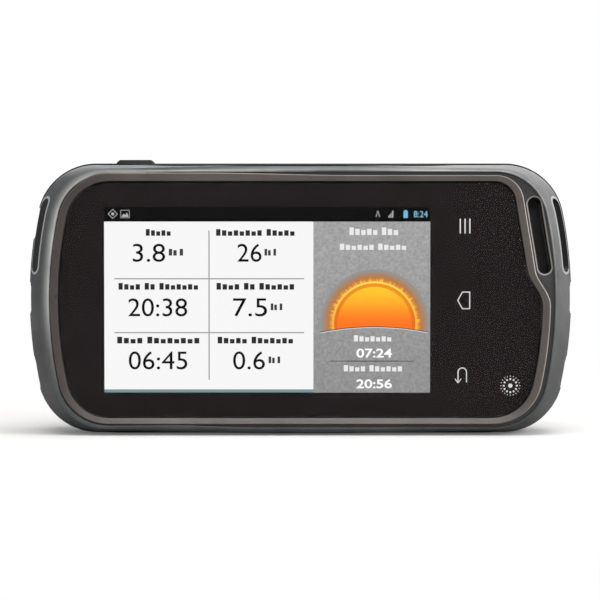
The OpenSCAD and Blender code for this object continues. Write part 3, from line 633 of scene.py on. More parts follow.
# Bezel ring -------------------------------------------------------------
# A painted metal ring round the glass. It stands highest near its outer edge, which carries a
# painted highlight, strongest along the right side, and slopes down towards the glass.
RING_END, RING_SIDE, RING_GAP = 2.65, 2.15, 0.45
glass_low, glass_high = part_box("cover_glass")
GLASS_HL, GLASS_HH = glass_high.x / MM, (glass_high.z - glass_low.z) / 2 / MM
GLASS_R, GLASS_CORNER_R = 11.5, 5.5
STEP_LOW, STEP_HIGH, STEP_IN, STEP_POINTS = -2, 8, 4.2, 32
ADHESIVE_BACK = 2.2


def face_outline(gx, gz):
    """The outline of the glass grown along and across the unit, with the step beside the slot."""
    hl, hh, r = GLASS_HL + gx, GLASS_HH + gz, GLASS_R + gz
    bulge = END_BULGE - BUMPER_END + GLASS_HL - CORE_HL + gx
    c, rc = hl - bulge, GLASS_CORNER_R + gz
    cx, cz = c + math.sqrt((bulge - r) ** 2 - (hh - r) ** 2), hh - r
    t = math.degrees(math.atan2(cz, cx - c))
    low = math.degrees(math.asin(STEP_LOW / bulge))
    lean_top = hh - rc + rc * math.sin(lean)
    step_x = GLASS_HL - STEP_IN + gx
    xc = step_x - (lean_top - STEP_HIGH) * math.tan(lean) - rc * math.cos(lean)
    step = []
    for k in range(STEP_POINTS):
        z = STEP_LOW + (STEP_HIGH - STEP_LOW) * k / STEP_POINTS
        share = (1 - math.cos(math.pi * k / STEP_POINTS)) / 2
        out, back = c + math.sqrt(bulge ** 2 - z * z), step_x - (z - STEP_HIGH) * math.tan(lean)
        step.append((out + (back - out) * share, z))
    top_right = (xc + rc * math.cos(lean), lean_top)
    return (run((-cx, -hh), (cx, -hh), 40) + arc(cx, -cz, r, 270, 360 - t, 18) + arc(c, 0, bulge, -t, low, 20)
            + step + run((step_x, STEP_HIGH), top_right, 10) + arc(xc, hh - rc, rc, slot_lean, 90, 18)
            + run((xc, hh), (-cx, hh), 40) + arc(-cx, cz, r, 90, 180 - t, 18)
            + arc(-c, 0, bulge, 180 - t, 180 + t, 44) + arc(-cx, -cz, r, 180 + t, 270, 18))


def between(a, b, share):
    """An outline part of the way from one to another."""
    return [(p[0] + (q[0] - p[0]) * share, p[1] + (q[1] - p[1]) * share) for p, q in zip(a, b)]


def brim(line):
    """The ring's outline where it laps over the case along the left half of the top side."""
    return [(x, z + 0.66 * ease((z - 30) / 4) * ease((14 - x) / 40) * ease((x + 66) / 12)) for x, z in line]


RING_BACK = ADHESIVE_BACK - 0.05
hidden_part = [(0, RING_BACK), (0, 0.85)]
lapped_part = [(0, 0.85), (0, 0.36), (0.03, 0.16), (0.09, 0.04), (0.17, 0.0), (0.27, 0.06), (0.55, 0.3),
               (0.88, 0.56), (0.96, 0.64), (1, 0.8), (1, RING_BACK)]
ring_out, ring_in = face_outline(RING_END, RING_SIDE), face_outline(RING_GAP, RING_GAP)
wide_out = [(x, z + 0.004) for x, z in brim(ring_out)]
bezel = new_piece("bezel_rim", *skin([[place(x, depth, z) for x, z in between(line, ring_in, share)]
                                      for line, part in ((ring_out, hidden_part), (wide_out, lapped_part))
                                      for share, depth in part], closed=True))
# Painted highlight: a bright line in c9c4bf along the outer edge, strong on the right side, and a faint
# painted lightening over all of the ring but its left end.
rubbed = bezel.data.attributes.new("rubbed", "FLOAT", "POINT")
ring_highlight_rows = {3: 0.5, 4: 1.0, 5: 0.8, 6: 0.2}
rubbed.data.foreach_set("value", [
    max(ring_highlight_rows.get(v.index // len(ring_out), 0.0) * (0.1 + 0.9 * ease((v.co.x / MM - 52) / 12)),
        0.17 * ease((v.co.x / MM + 64) / 22)) for v in bezel.data.vertices])
bezel_paint = finish("satin metal paint", "4c4644", 0.36, grain=5200, bump=0.01, tone=0.08, metal=0.45,
                     highlight_attribute="rubbed", highlight_colour="c9c4bf")
dress(bezel, bezel_paint, "bezel", "case", "bezel_ring")


# Cover glass ------------------------------------------------------------
# One pane of clear glass with a ground edge. Black ink on its back leaves a window for the
# display and a hole for the light sensor.
sensor_x, sensor_h = middle_of("light_sensor").x / MM, middle_of("light_sensor").z / MM - MIDDLE
window = (-53.6, 35.5, -25.5, 25.5)


def disc(x, z, r, steps=48):
    """A round outline."""
    return arc(x, z, r, 0, 360, steps)


pane = loft("glass_pane", [(d, face_outline(-g, -g)) for d, g in
                           ((0.7, 0.35), (0.73, 0.2), (0.8, 0.1), (0.92, 0.03), (1.1, 0), (1.6, 0))])
clear_glass = finish("clear cover glass", "fefefe", 0.06, grain=40, bump=0, tone=0.0, drift=25,
                     IOR=1.12, Specular_IOR_Level=0.3, Transmission_Weight=1)
dress(pane, clear_glass, "cover_glass", "case", "cover_glass")
ink = prism("glass_print", face_outline(-0.06, -0.06), 1.62, 1.66)
cut(ink, prism("cutter", round_box(*window, 0.2), 1.5, 1.8),
    prism("cutter", disc(sensor_x, sensor_h, 0.66), 1.5, 1.8))
ink_black = finish("black glass ink", "1a1516", 0.6, grain=900, bump=0, tone=0.12, drift=30,
                   Specular_IOR_Level=0.05)
dress(ink, ink_black, "cover_glass", "case", "cover_glass")


# Picture on the display -------------------------------------------------
# What the lit display shows: readings in six fields, a panel with a setting sun, and a bar of
# small signs above them. Words are only plain bars. All of it is thin and glows by itself.
PICTURE_BACK, LAYER_STEP, TILE_T, FIGURE_RISE = 1.79, 0.015, 0.01, 0.055
FIELD_LEFT, FIELD_RIGHT, PANEL_RIGHT, FIELD_FOOT, BAR_FOOT = -53.55, 3.54, 35.4, -24.51, 21.32


def tiles(name, outlines, low, high):
    """One flat piece made of many outlines, all between the same two depths."""
    vertices, faces = [], []
    for line in outlines:
        some, more = skin([[place(x, d, z) for x, z in line] for d in (low, high)], closed=False)
        faces += [tuple(k + len(vertices) for k in face) for face in more]
        vertices += some
    return new_piece(name, vertices, faces)


def screen_light():
    """Shader group: a colour with the faint grain and the slow drift of a backlight."""
    group, start, end = new_group("screen light", "ShaderNodeTree",
                                  (("Top", "Color", (1, 1, 1, 1)), ("Foot", "Color", (1, 1, 1, 1)),
                                   ("Top height", "Float", 0.06), ("Foot height", "Float", 0.03),
                                   ("Grain", "Float", 0.03)), (("Light", "Color"),))
    spot = node(group, "ShaderNodeTexCoord").outputs["Object"]
    height = node(group, "ShaderNodeSeparateXYZ", {0: spot}).outputs["Z"]
    rise = node(group, "ShaderNodeMapRange", {"Value": height, "From Min": start["Foot height"],
                                              "From Max": start["Top height"]},
                interpolation_type="SMOOTHSTEP")
    blend = node(group, "ShaderNodeMix", {"Factor": rise, "A": start["Foot"], "B": start["Top"]},
                 data_type="RGBA")
    speckle = node(group, "ShaderNodeTexNoise", {"Vector": spot, "Scale": 1500, "Detail": 2})
    centred = node(group, "ShaderNodeMath", {0: speckle, 1: 0.5}, operation="SUBTRACT")
    amount = node(group, "ShaderNodeMath", {0: centred, 1: start["Grain"], 2: 1}, operation="MULTIPLY_ADD")
    feed(group, end, {"Light": node(group, "ShaderNodeVectorMath", {0: blend, "Scale": amount},
                                    operation="SCALE")})
    return group


SCREEN_LIGHT = screen_light()


def self_lit(name, strength, dark, rough=0.5):
    """A material that only gives off light, with the light's colour still to be fed."""
    material, tree, shader = new_material(name)
    feed(tree, shader, {"Emission Strength": strength, "Base Color": (dark, dark, dark, 1),
                        "Specular IOR Level": 0, "Roughness": rough})
    return material, tree, shader


def glow(name, top, foot=None, top_h=20, foot_h=-25, grain=0.04):
    """A self-lit surface: one colour, or two that change over between two heights."""
    material, tree, shader = self_lit(name, 1.02, 0.002, 0.7)
    light = node(tree, "ShaderNodeGroup", {
        "Top": linear(top), "Foot": linear(foot or top), "Top height": (MIDDLE + top_h) * MM,
        "Foot height": (MIDDLE + foot_h) * MM, "Grain": grain}, node_tree=SCREEN_LIGHT)
    feed(tree, shader, {"Emission Color": light})
    return material


def shown(name, outlines, material, layer):
    """A flat piece of the picture, some hundredths of a millimetre in front of the display."""
    high = PICTURE_BACK - LAYER_STEP * layer
    return dress(tiles(name, outlines, high - TILE_T, high), material, "display", "case")


def bar(x1, x2, z1, z2):
    """An upright rectangle."""
    return [(x1, z1), (x2, z1), (x2, z2), (x1, z2)]


def words(x, z, width, height, counts, gap=0.5):
    """Plain blocks that stand for a line of words, the first one of each word a little taller."""
    unit = (width - gap * (len(counts) - 1)) / sum(counts)
    left, made = x - width / 2, []
    for count in counts:
        for k in range(count):
            top = height * (0.72 if k == 0 else (0.3, 0.5)[k % 2])
            made.append(bar(left, left + unit * 0.74, z - height / 2, z + top))
            left += unit
        left += gap
    return made


def stroke(points, width):
    """The outline of a line of even width with square ends, drawn through points."""
    sides = ([], [])
    for k, (x, z) in enumerate(points):
        before, after = points[max(0, k - 1)], points[min(len(points) - 1, k + 1)]
        first = Vector((x - before[0], z - before[1])) if k else Vector((after[0] - x, after[1] - z))
        second = Vector((after[0] - x, after[1] - z)) if k < len(points) - 1 else first
        along = (first.normalized() + second.normalized()).normalized()
        reach = width / 2 / max(0.5, along.dot(first.normalized()))
        for side, sign in zip(sides, (1, -1)):
            side.append((x - along.y * reach * sign, z + along.x * reach * sign))
    return sides[0] + sides[1][::-1]


def figures(name, text, left, right, middle, height, material, bold=0.0):
    """Digits as a flat mesh, fitted between left and right and centred on a height."""
    curve = bpy.data.curves.new(name, "FONT")
    curve.body, curve.size, curve.offset, curve.resolution_u = text, 1.0, bold, 6
    writing = in_scene(name, curve)
    bpy.context.view_layer.update()
    flat = bpy.data.meshes.new_from_object(writing.evaluated_get(bpy.context.evaluated_depsgraph_get()))
    bpy.data.objects.remove(writing)
    xs, ys = [v.co.x for v in flat.vertices], [v.co.y for v in flat.vertices]
    across, up = (right - left) / (max(xs) - min(xs)), height / (max(ys) - min(ys))
    work = bmesh.new()
    work.from_mesh(flat)
    for v in work.verts:
        x, z = left + (v.co.x - min(xs)) * across, middle + (v.co.y - (min(ys) + max(ys)) / 2) * up
        v.co = place(x, PICTURE_BACK - FIGURE_RISE, z)
    bmesh.ops.remove_doubles(work, verts=work.verts, dist=1e-7)
    grown = bmesh.ops.extrude_face_region(work, geom=work.faces[:])
    backs = [v for v in grown["geom"] if isinstance(v, bmesh.types.BMVert)]
    bmesh.ops.translate(work, vec=(0, TILE_T * MM, 0), verts=backs)
    bmesh.ops.recalc_face_normals(work, faces=work.faces)
    work.to_mesh(flat)
    work.free()
    return dress(in_scene(name, flat), material, "display", "case")


paper_white = glow("picture white", "f6f6f6", grain=0.02)
ink_grey = glow("picture dark grey", "0a0a0b")
rule_grey = glow("picture rule grey", "a4a4a4")
shown("picture_backing", [bar(FIELD_LEFT, PANEL_RIGHT, -25.4, 25.45)], glow("picture black", "050505"), 0)
shown("picture_fields", [bar(FIELD_LEFT, FIELD_RIGHT, FIELD_FOOT, BAR_FOOT)], paper_white, 1)
shown("picture_foot_line", [bar(FIELD_LEFT, FIELD_RIGHT, -25.36, FIELD_FOOT)],
      glow("picture foot line", "7d9295"), 1)
rule_w, rule_left, rule_right = 0.36, -25.12, -24.76
rules = [bar(rule_left, rule_right, -21.9, 18.9)]
for foot in (5.55, -9.17):
    rules += [bar(-50.8, rule_left, foot, foot + rule_w), bar(rule_right, 1.0, foot, foot + rule_w)]
shown("picture_rules", rules, rule_grey, 2)
columns, lines = (-38.6, -12.1), (18.2, 3.5, -11.2)
label_words = (((7.1, (5,)), (22.1, (4, 2, 7)), (22.9, (4, 8))),
               ((21.8, (8, 5)), (21.6, (4, 2, 6)), (21.0, (5, 7))))
labels = [block for x, column in zip(columns, label_words) for z, (width, counts) in zip(lines, column)
          for block in words(x, z, width, 1.5, counts, gap=0.9)]
unit_spots = ((-33.8, 12.8, 4.2), (-8.1, 12.8, 3.4), (-6.4, -2.1, 3.4), (-7.0, -16.6, 3.4))
units = [block for x, z, width in unit_spots for block in words(x, z, width, 1.5, (2, 1))]
shown("picture_labels", labels, glow("picture label grey", "2a2b2c"), 2)
shown("picture_units", units, glow("picture unit grey", "3a3b3c"), 2)
readings = (("3.8", -45.75, -36.9, 12.8), ("20:38", -47, -30.9, -2.1), ("06:45", -46.9, -30.9, -16.6),
            ("26", -17.2, -10.6, 12.8), ("7.5", -18.4, -9.1, -2.1), ("0.6", -18.4, -9.7, -16.6))
for index, (text, left, right, z) in enumerate(readings):
    figures("picture_reading_%d" % (index + 1), text, left, right, z, 4.95, ink_grey)

grey_panel = glow("picture grey", "a2a2a2", "929292", grain=0.7)
shown("picture_panel", [bar(FIELD_RIGHT, PANEL_RIGHT, -25.4, BAR_FOOT)], grey_panel, 1)
sun_x, sun_z = 20.27, -6.61


def horizon(x):
    """Height of the low curve that the sun sets behind."""
    return -81.04 + math.sqrt(73.75 ** 2 - (x - 20.17) ** 2)


def half_disc(r, steps=80):
    """The part of a disc round the sun's middle that stands over the horizon."""
    over = [p for p in disc(sun_x, sun_z, r, 2 * steps) if p[1] > horizon(p[0])]
    turn = next((k for k in range(len(over)) if over[k - 1][0] < over[k][0] - 1), 0)
    over = over[turn:] + over[:turn]
    first, last = over[0][0], over[-1][0]
    foot = [(last + (first - last) * k / 24) for k in range(25)]
    return over + [(x, horizon(x)) for x in foot]


def sun_rays():
    """A self-lit glow round the sun: warm near it, fading out, and broken into thin rays."""
    material, tree, shader = self_lit("picture sun rays", 1, 0.004)
    coords = node(tree, "ShaderNodeTexCoord")
    sun = (sun_x * MM, 0, (MIDDLE + sun_z) * MM)
    centred = node(tree, "ShaderNodeVectorMath", {0: coords.outputs["Object"], 1: sun}, operation="SUBTRACT")
    flat = node(tree, "ShaderNodeVectorMath", {0: centred, 1: (1, 0, 1)}, operation="MULTIPLY")
    far, way = (node(tree, "ShaderNodeVectorMath", {0: flat}, operation=kind)
                for kind in ("LENGTH", "NORMALIZE"))
    rays = node(tree, "ShaderNodeTexNoise", {"Vector": way, "Scale": 26, "Detail": 2})
    reach = node(tree, "ShaderNodeMapRange", {"Value": rays, "From Min": 0.3, "From Max": 0.7,
                                              "To Min": -0.3, "To Max": 0.3})
    fade = node(tree, "ShaderNodeMapRange", {"Value": far, "From Min": 14.8 * MM, "From Max": 11.4 * MM})
    broken = node(tree, "ShaderNodeMath", {0: reach, 1: fade}, operation="MULTIPLY")
    tint = node(tree, "ShaderNodeValToRGB", {"Fac": node(tree, "ShaderNodeMath", {0: fade, 1: broken},
                                                         operation="ADD")})
    ramp = tint.color_ramp
    ramp.elements[0].color, ramp.elements[1].color = linear("969696"), linear("ffc24a")
    for spot, colour in ((0.3, "a38a76"), (0.6, "bb7a44"), (0.8, "d98a3c")):
        ramp.elements.new(spot).color = linear(colour)
    feed(tree, shader, {"Emission Color": tint.outputs["Color"]})
    return material


shown("picture_sun_glow", [half_disc(14.9)], sun_rays(), 2)
for name, radius, layer, colours in (("rim", 11.58, 3, ("ffd75a", "ffb43c", 5, -7)),
                                     ("band", 11.09, 4, ("ee9420", "e8701a", 4, -7)),
                                     ("", 10.14, 5, ("ffcb2e", "ff7420", 4.5, -7.4))):
    shown(("picture_sun_" + name).rstrip("_"), [half_disc(radius)],
          glow("picture sun " + (name or "disc"), *colours), layer)
horizon_left, horizon_right = 5.3, 34.9
horizon_x = [horizon_left + (horizon_right - horizon_left) * k / 40 for k in range(41)]
for name, drop, width, colour in (("", 0.08, 0.22, "4a4a4a"), (" light", 0.32, 0.18, "dedede")):
    edge = stroke([(x, horizon(x) - drop) for x in horizon_x], width)
    shown("picture_horizon" + name.replace(" ", "_"), [edge], glow("picture horizon" + name, colour), 6)
panel_words = (words(20.2, 18.5, 13.7, 1.7, (5, 3), gap=0.8) + words(20.0, 14.3, 18.5, 1.4, (6, 5), gap=0.8)
               + words(19.9, -10.7, 10.6, 1.4, (7,)) + words(20.0, -18.9, 16.3, 1.4, (4, 6), gap=0.8))
shown("picture_panel_words", panel_words, glow("picture panel light", "e9e9e9"), 3)
white_figures = glow("picture panel figures", "ffffff")
figures("picture_panel_time_1", "07:24", 15.3, 25.0, -14.6, 2.5, white_figures, bold=0.02)
figures("picture_panel_time_2", "20:56", 15.3, 25.0, -23.0, 2.5, white_figures, bold=0.02)
shown("picture_panel_rule", [bar(7.9, 31.07, -16.88, -16.68), bar(12.4, 26.6, -16.91, -16.65)],
      glow("picture panel rule", "474747"), 3)
mark_x, mark_z, mark_r = -51.15, 23.4, 1.25
diamond = [(mark_x + mark_r * dx, mark_z + mark_r * dz)
           for dx, dz in ((0, -1), (1, 0), (0, 1), (-1, 0), (0, -1))]
card = [(-49.0, 22.35), (-46.65, 22.35), (-46.65, 24.4), (-49.0, 24.4), (-49.0, 22.35)]
hill = [(-48.8, 22.6), (-48.2, 23.5), (-47.8, 23.0), (-47.3, 23.8), (-46.85, 22.6)]
peak = [(20.6, 22.6), (21.1, 24.2), (21.6, 22.6)]
signal = [bar(24.0, 24.3, 22.4, 23.0), bar(24.5, 24.8, 22.4, 23.6), bar(25.0, 25.3, 22.4, 24.3)]
shown("picture_bar_signs", [stroke(diamond, 0.15), disc(mark_x, mark_z, 0.4, 16), stroke(card, 0.12), hill,
                            stroke(peak, 0.2), *signal], glow("picture bar sign", "bdbdbd"), 1)
shown("picture_battery_sign", [bar(28.1, 29.3, 22.3, 24.2), bar(28.45, 28.95, 24.2, 24.5)],
      glow("picture battery sign", "6fb7d8"), 1)
figures("picture_clock", "8:24", 30.9, 34.7, 23.35, 1.75, glow("picture clock", "8fc4dc"))


# Signs on the glass -----------------------------------------------------
# Three touch keys in thin light lines beside the display, and rings of dots round the light
# sensor, all printed in grey over the black.
SIGN_BACK, SIGN_FRONT = 1.615, 1.595
sign_grey = finish("light grey print", "d2d4d4", 0.5, grain=900, bump=0.001, tone=0.06)
bars = [stroke([(x, 18.1), (x, 22.1)], 0.32) for x in (43.57, 44.87, 46.19)]
house = [(46.19, -2.45), (46.19, 2.1), (44.2, 2.1), (42.94, -0.2), (44.2, -2.45), (46.19, -2.45)]
turn_back = [(45.37, -22.6), (45.37, -19.8)]
turn_back += arc(44.21, -19.8, 1.16, 0, 180, 14, whole=True)[1:] + [(43.05, -22.4)]
barbs = [[(42.2, -21.6), (43.05, -22.75)], [(43.9, -21.6), (43.05, -22.75)]]
signs = tiles("touch_key_signs", bars + [stroke(house, 0.29), stroke(turn_back, 0.29)]
              + [stroke(barb, 0.24) for barb in barbs] + [disc(sensor_x, sensor_h, 0.58, 24)],
              SIGN_FRONT, SIGN_BACK)
dress(signs, sign_grey, "cover_glass", "case")


def set_in_place(tree, start, end, instances, turn=(0, 0, 0)):
    """Ends a node tree: real meshes, turned, moved to their middle and given their material."""
    whole = node(tree, "GeometryNodeRealizeInstances", {"Geometry": instances})
    moved = node(tree, "GeometryNodeTransform", {"Geometry": whole, "Rotation": turn,
                                                 "Translation": start["Middle"]})
    feed(tree, end, {"Geometry": node(tree, "GeometryNodeSetMaterial", {"Geometry": moved,
                                                                        "Material": start["Material"]})})


def marks_tree():
    """Node tree: bars set round a circle, each turned to face the middle."""
    tree, start, end = new_group(
        "marks round a circle", "GeometryNodeTree",
        (("Count", "Int", 16), ("Radius", "Float", 0.0019), ("Mark", "Vector", (1, 1, 1)),
         ("Middle", "Vector", (0, 0, 0)), ("Material", "Material")), (("Geometry", "Geometry"),))
    circle = node(tree, "GeometryNodeMeshCircle", {"Vertices": start["Count"], "Radius": start["Radius"]})
    mark = node(tree, "GeometryNodeMeshCube", {"Size": start["Mark"]})
    facing = node(tree, "FunctionNodeAlignRotationToVector",
                  {"Vector": node(tree, "GeometryNodeInputPosition")}, axis="X")
    set_out = node(tree, "GeometryNodeInstanceOnPoints", {
        "Points": circle, "Instance": mark.outputs["Mesh"], "Rotation": facing})
    set_in_place(tree, start, end, set_out, turn=(math.pi / 2, 0, 0))
    return tree


def grow(name, tree, mesh=None, **values):
    """An object that a node tree makes, with the tree's inputs set by their names, as a plain mesh."""
    piece = in_scene(name, mesh or bpy.data.meshes.new(name))
    step = piece.modifiers.new("build", "NODES")
    step.node_group = tree
    for item in tree.interface.items_tree:
        if item.item_type == "SOCKET" and item.in_out == "INPUT" and item.name in values:
            step[item.identifier] = values[item.name]
    settle(piece)
    return piece


MARKS = marks_tree()
mark_depth = 0.02
for name, count, radius, mark in (("dash_ring", 12, 1.8, (0.5, 0.42)), ("dot_ring", 20, 2.6, (0.26, 0.2))):
    dots = grow(name, MARKS, Count=count, Radius=radius * MM, Material=sign_grey,
                Mark=(mark[0] * MM, mark[1] * MM, mark_depth * MM),
                Middle=place(sensor_x, SIGN_BACK - mark_depth / 2, sensor_h))
    dress(dots, sign_grey, "cover_glass", "case")


# Rear housing -----------------------------------------------------------
# The moulded rear half: walls inside the grip band, a back that rounds over to a flat face, a bay
# for the battery, and openings for the cover, the screws, the camera, the speaker and the ports.
REAR_FRONT, SEAT_DEPTH, REAR_FACE, WALL_INNER = 13.6, 29.0, 31.0, 27.4
BAY_FLOOR, BAY_BOTTOM, BAY_LEFT, BAY_RIGHT, BAY_HH, BAY_WALL = 16.8, 18.2, -49.05, 28.95, 21.0, 1.6
COVER_LEFT, COVER_RIGHT, COVER_HH, COVER_R, COVER_GAP = -51.55, 57.05, 24.6, 6.0, 0.3
LATCH_X, CAMERA_X, FLASH_H, SPEAKER_H = 44.05, -57.05, 11.0, -13.0
CAP_FLOOR_X, CAP_FRONT, CAP_BACK, CAP_HINGE_DEPTH = 67.6, 21.8, 28.0, 27.8
PORT_CAP, AUDIO_CAP = (-14.0, 7.0), (9.0, 18.0)
screws_at = [(x, side * 27.85) for x in (-30.05, 9.95, 50.05) for side in (-1, 1)]


def back_inset(depth):
    """How far the housing's back has rounded in from the outer outline at a depth."""
    knots = [(21.1, 1.6), (25, 2.6), (28, 4.4), (30, 6.8), (31, 9.3)]
    for k in range(len(knots) - 1):
        (d0, v0), (d1, v1) = knots[k], knots[k + 1]
        if depth <= d1:
            slope0 = (v1 - knots[max(0, k - 1)][1]) / (d1 - knots[max(0, k - 1)][0])
            slope1 = (knots[min(4, k + 2)][1] - v0) / (knots[min(4, k + 2)][0] - d0)
            t, h = (depth - d0) / (d1 - d0), d1 - d0
            return ((2 * t ** 3 - 3 * t ** 2 + 1) * v0 + (t ** 3 - 2 * t ** 2 + t) * h * slope0
                    + (3 * t ** 2 - 2 * t ** 3) * v1 + (t ** 3 - t ** 2) * h * slope1)
    return knots[-1][1]


def back_form(name, inset, start):
    """The rounded back as a solid, from a depth to the flat face."""
    rows = [start + (REAR_FACE - 0.25 - start) * k / 24 for k in range(25)]
    rings = [(d, shell_outline(back_inset(max(d, 21.1)) + inset)) for d in rows]
    rings += [(REAR_FACE - 0.07, shell_outline(9.05 + inset)), (REAR_FACE, shell_outline(9.5 + inset))]
    return loft(name, rings)


def cavity(name, inset, low, high):
    """The room inside the housing's walls, between two depths."""
    hl, hh, r, bulge = CORE_HL - 3.65 - inset, CORE_HH - 2.4 - inset, 11.8 - inset, 112.4 - 3.65 - inset
    return prism(name, case_outline(hl, hh, r, bulge, corner=10, end=30, side=12), low, high)


def cover_outline(inset):
    """The outline of the battery cover, let in or, below nothing, grown."""
    return round_box(COVER_LEFT + inset, COVER_RIGHT - inset, -COVER_HH + inset, COVER_HH - inset,
                     COVER_R - inset, steps=12)


def rod(x, z, r, low, high, steps=32):
    """A round block between two depths."""
    return prism("rod", disc(x, z, r, steps), low, high)


def stack(name, x, z, profile, steps=48):
    """A round solid about the line through x and z, from (depth, radius) pairs."""
    return loft(name, [(depth, disc(x, z, r, steps)) for depth, r in profile])


def block(x1, x2, low, high, z1, z2):
    """A square block between two depths."""
    return prism("block", bar(x1, x2, z1, z2), low, high)


def cap_pocket(low, high):
    """The recess of one weather cap, with room for its hinge bead to turn."""
    mouth = [(d, z) for z, d in round_box(low, high, CAP_FRONT, CAP_BACK, 0.05)]
    return (prism("pocket", mouth, CAP_FLOOR_X, CASE_HL + 2, along="length"),
            prism("relief", disc(CAP_FLOOR_X + 1.8, CAP_HINGE_DEPTH, 1.9, 24), low, high, along="height"))


rear = loft("rear_shell", [(d, core_outline(0)) for d in (REAR_FRONT, 21.3)])
combine("UNION", rear, back_form("back", 0, 21.1))
cut(rear, cavity("room", 0, REAR_FRONT - 0.5, 25.0), cavity("room", 2.5, 24.9, WALL_INNER))
posts = [rod(x, z, 3.2, REAR_FRONT, WALL_INNER + 0.1) for x, z in screws_at]
combine("UNION", rear, block(BAY_LEFT - BAY_WALL, BAY_RIGHT + BAY_WALL, BAY_FLOOR, WALL_INNER + 0.1,
                             -BAY_HH - BAY_WALL, BAY_HH + BAY_WALL),
        rod(LATCH_X, 0, 7.0, WALL_INNER - 1.1, WALL_INNER + 0.1), *posts,
        *[rod(CAP_FLOOR_X - 11.6, z, 2, 21.6, WALL_INNER + 0.1) for z in (-12, 6)])
seat, wider = cover_outline(-COVER_GAP), cover_outline(-0.75)
contact_well = (11.75, 22.15, 16.3, 18.7, -2.2, 2.2)
card_well = (-36.25, -21.85, 16.3, 18.7, -7.2, 7.2)
cut(rear, block(BAY_LEFT, BAY_RIGHT, BAY_BOTTOM, 31.5, -BAY_HH, BAY_HH),
    block(*contact_well), block(*card_well),
    loft("seat", [(SEAT_DEPTH, seat), (30.7, seat), (31.1, wider), (31.5, wider)]),
    rod(LATCH_X, 0, 5.6, 27.9, 29.5))
for x, z in screws_at:
    cut(rear, rod(x, z, 1.05, 13.1, 22.5), rod(x, z, 2.1, 22.0, 31.5))
cut(rear, rod(CAMERA_X, 0, 3, 26.9, 31.5), rod(CAMERA_X, FLASH_H, 1.8, 26.9, 31.5),
    stack("seat", CAMERA_X, 0, ((29.8, 3.9), (30.8, 3.9), (31.1, 4.2))),
    stack("seat", CAMERA_X, FLASH_H, ((29.8, 2.7), (30.8, 2.7), (31.1, 3.0))),
    *[prism("slit", stadium(CAMERA_X + k * 1.9, SPEAKER_H, 0.5, 3.5), 26.9, 31.5) for k in range(-2, 3)])
for low, high in (PORT_CAP, AUDIO_CAP):
    cut(rear, *cap_pocket(low, high))
for z, w, t in ((-8, 7.6, 2.8), (1, 6.6, 3.0), (13.5, 5.6, 5.55)):
    cut(rear, block(59.3, 68.1, 21.4, 21.6 + t + 0.2, z - w / 2 - 0.2, z + w / 2 + 0.2))
cut_key_openings(rear, (key_gap, CORE_HH - 3.4, CASE_HH + 2), (0.85, 33.35, 34.15))
rear_plastic = finish("rear housing plastic", "3a3c3e", 0.52, grain=3400, bump=0.03, tone=0.14)
dress(rear, rear_plastic, "rear_plastic", "case", "rear_housing")


# Windows and speaker ----------------------------------------------------
# A glass window with a black printed ring over the camera, a frosted one over the flash, and a
# woven mesh behind the five slits of the speaker.
window_glass = finish("window glass", "f2f5f7", 0.08, grain=40, bump=0.0, tone=0.02, IOR=1.2,
                      Specular_IOR_Level=0.3, Transmission_Weight=1)
camera_pane = stack("camera_pane", CAMERA_X, 0, ((29.84, 3.78), (30.7, 3.78), (30.86, 3.6)))
dress(camera_pane, window_glass, "window_glass", "case", "camera_window")
printed = prism("camera_pane_print", disc(CAMERA_X, 0, 3.78), 29.8, 29.83)
cut(printed, rod(CAMERA_X, 0, 2.1, 29.7, 30.0))
dress(printed, ink_black, "window_glass", "case")
frosted = finish("frosted window", "e8e4cf", 0.3, grain=2600, bump=0.02, tone=0.04, Coat_Weight=0.3)
flash_pane = stack("flash_pane", CAMERA_X, FLASH_H, ((29.8, 2.58), (30.75, 2.58), (30.87, 2.4)))
dress(flash_pane, frosted, "window_glass", "case", "flash_window")


def lattice_tree():
    """Node tree: two crossed rows of thin bars, as a woven mesh."""
    tree, start, end = new_group(
        "woven mesh", "GeometryNodeTree",
        (("Count", "Int", 24), ("Size", "Float", 0.008), ("Wire", "Vector", (1, 1, 1)),
         ("Middle", "Vector", (0, 0, 0)), ("Material", "Material")), (("Geometry", "Geometry"),))
    first, last = (node(tree, "ShaderNodeVectorMath", {0: (side, 0, 0), "Scale": start["Size"]},
                        operation="SCALE") for side in (0.5, -0.5))
    row = node(tree, "GeometryNodeMeshLine", {"Count": start["Count"], "Start Location": first,
                                              "Offset": last}, mode="END_POINTS")
    wire = node(tree, "GeometryNodeMeshCube", {"Size": start["Wire"]})
    set_out = node(tree, "GeometryNodeInstanceOnPoints", {"Points": row, "Instance": wire.outputs["Mesh"]})
    crossed = node(tree, "GeometryNodeTransform", {"Geometry": set_out, "Rotation": (0, math.pi / 2, 0)})
    both = node(tree, "GeometryNodeJoinGeometry")
    for way in (set_out, crossed):
        feed(tree, both, {"Geometry": way})
    set_in_place(tree, start, end, both)
    return tree


mesh_black = finish("black mesh wire", "161718", 0.4, grain=5000, bump=0.004, metal=0.4)
weave = grow("speaker_weave", lattice_tree(), Count=26, Size=6.4 * MM, Wire=(0.1 * MM, 0.05 * MM, 6.4 * MM),
             Middle=place(CAMERA_X, 27.36, SPEAKER_H), Material=mesh_black)
dress(weave, mesh_black, "black_part", "case")


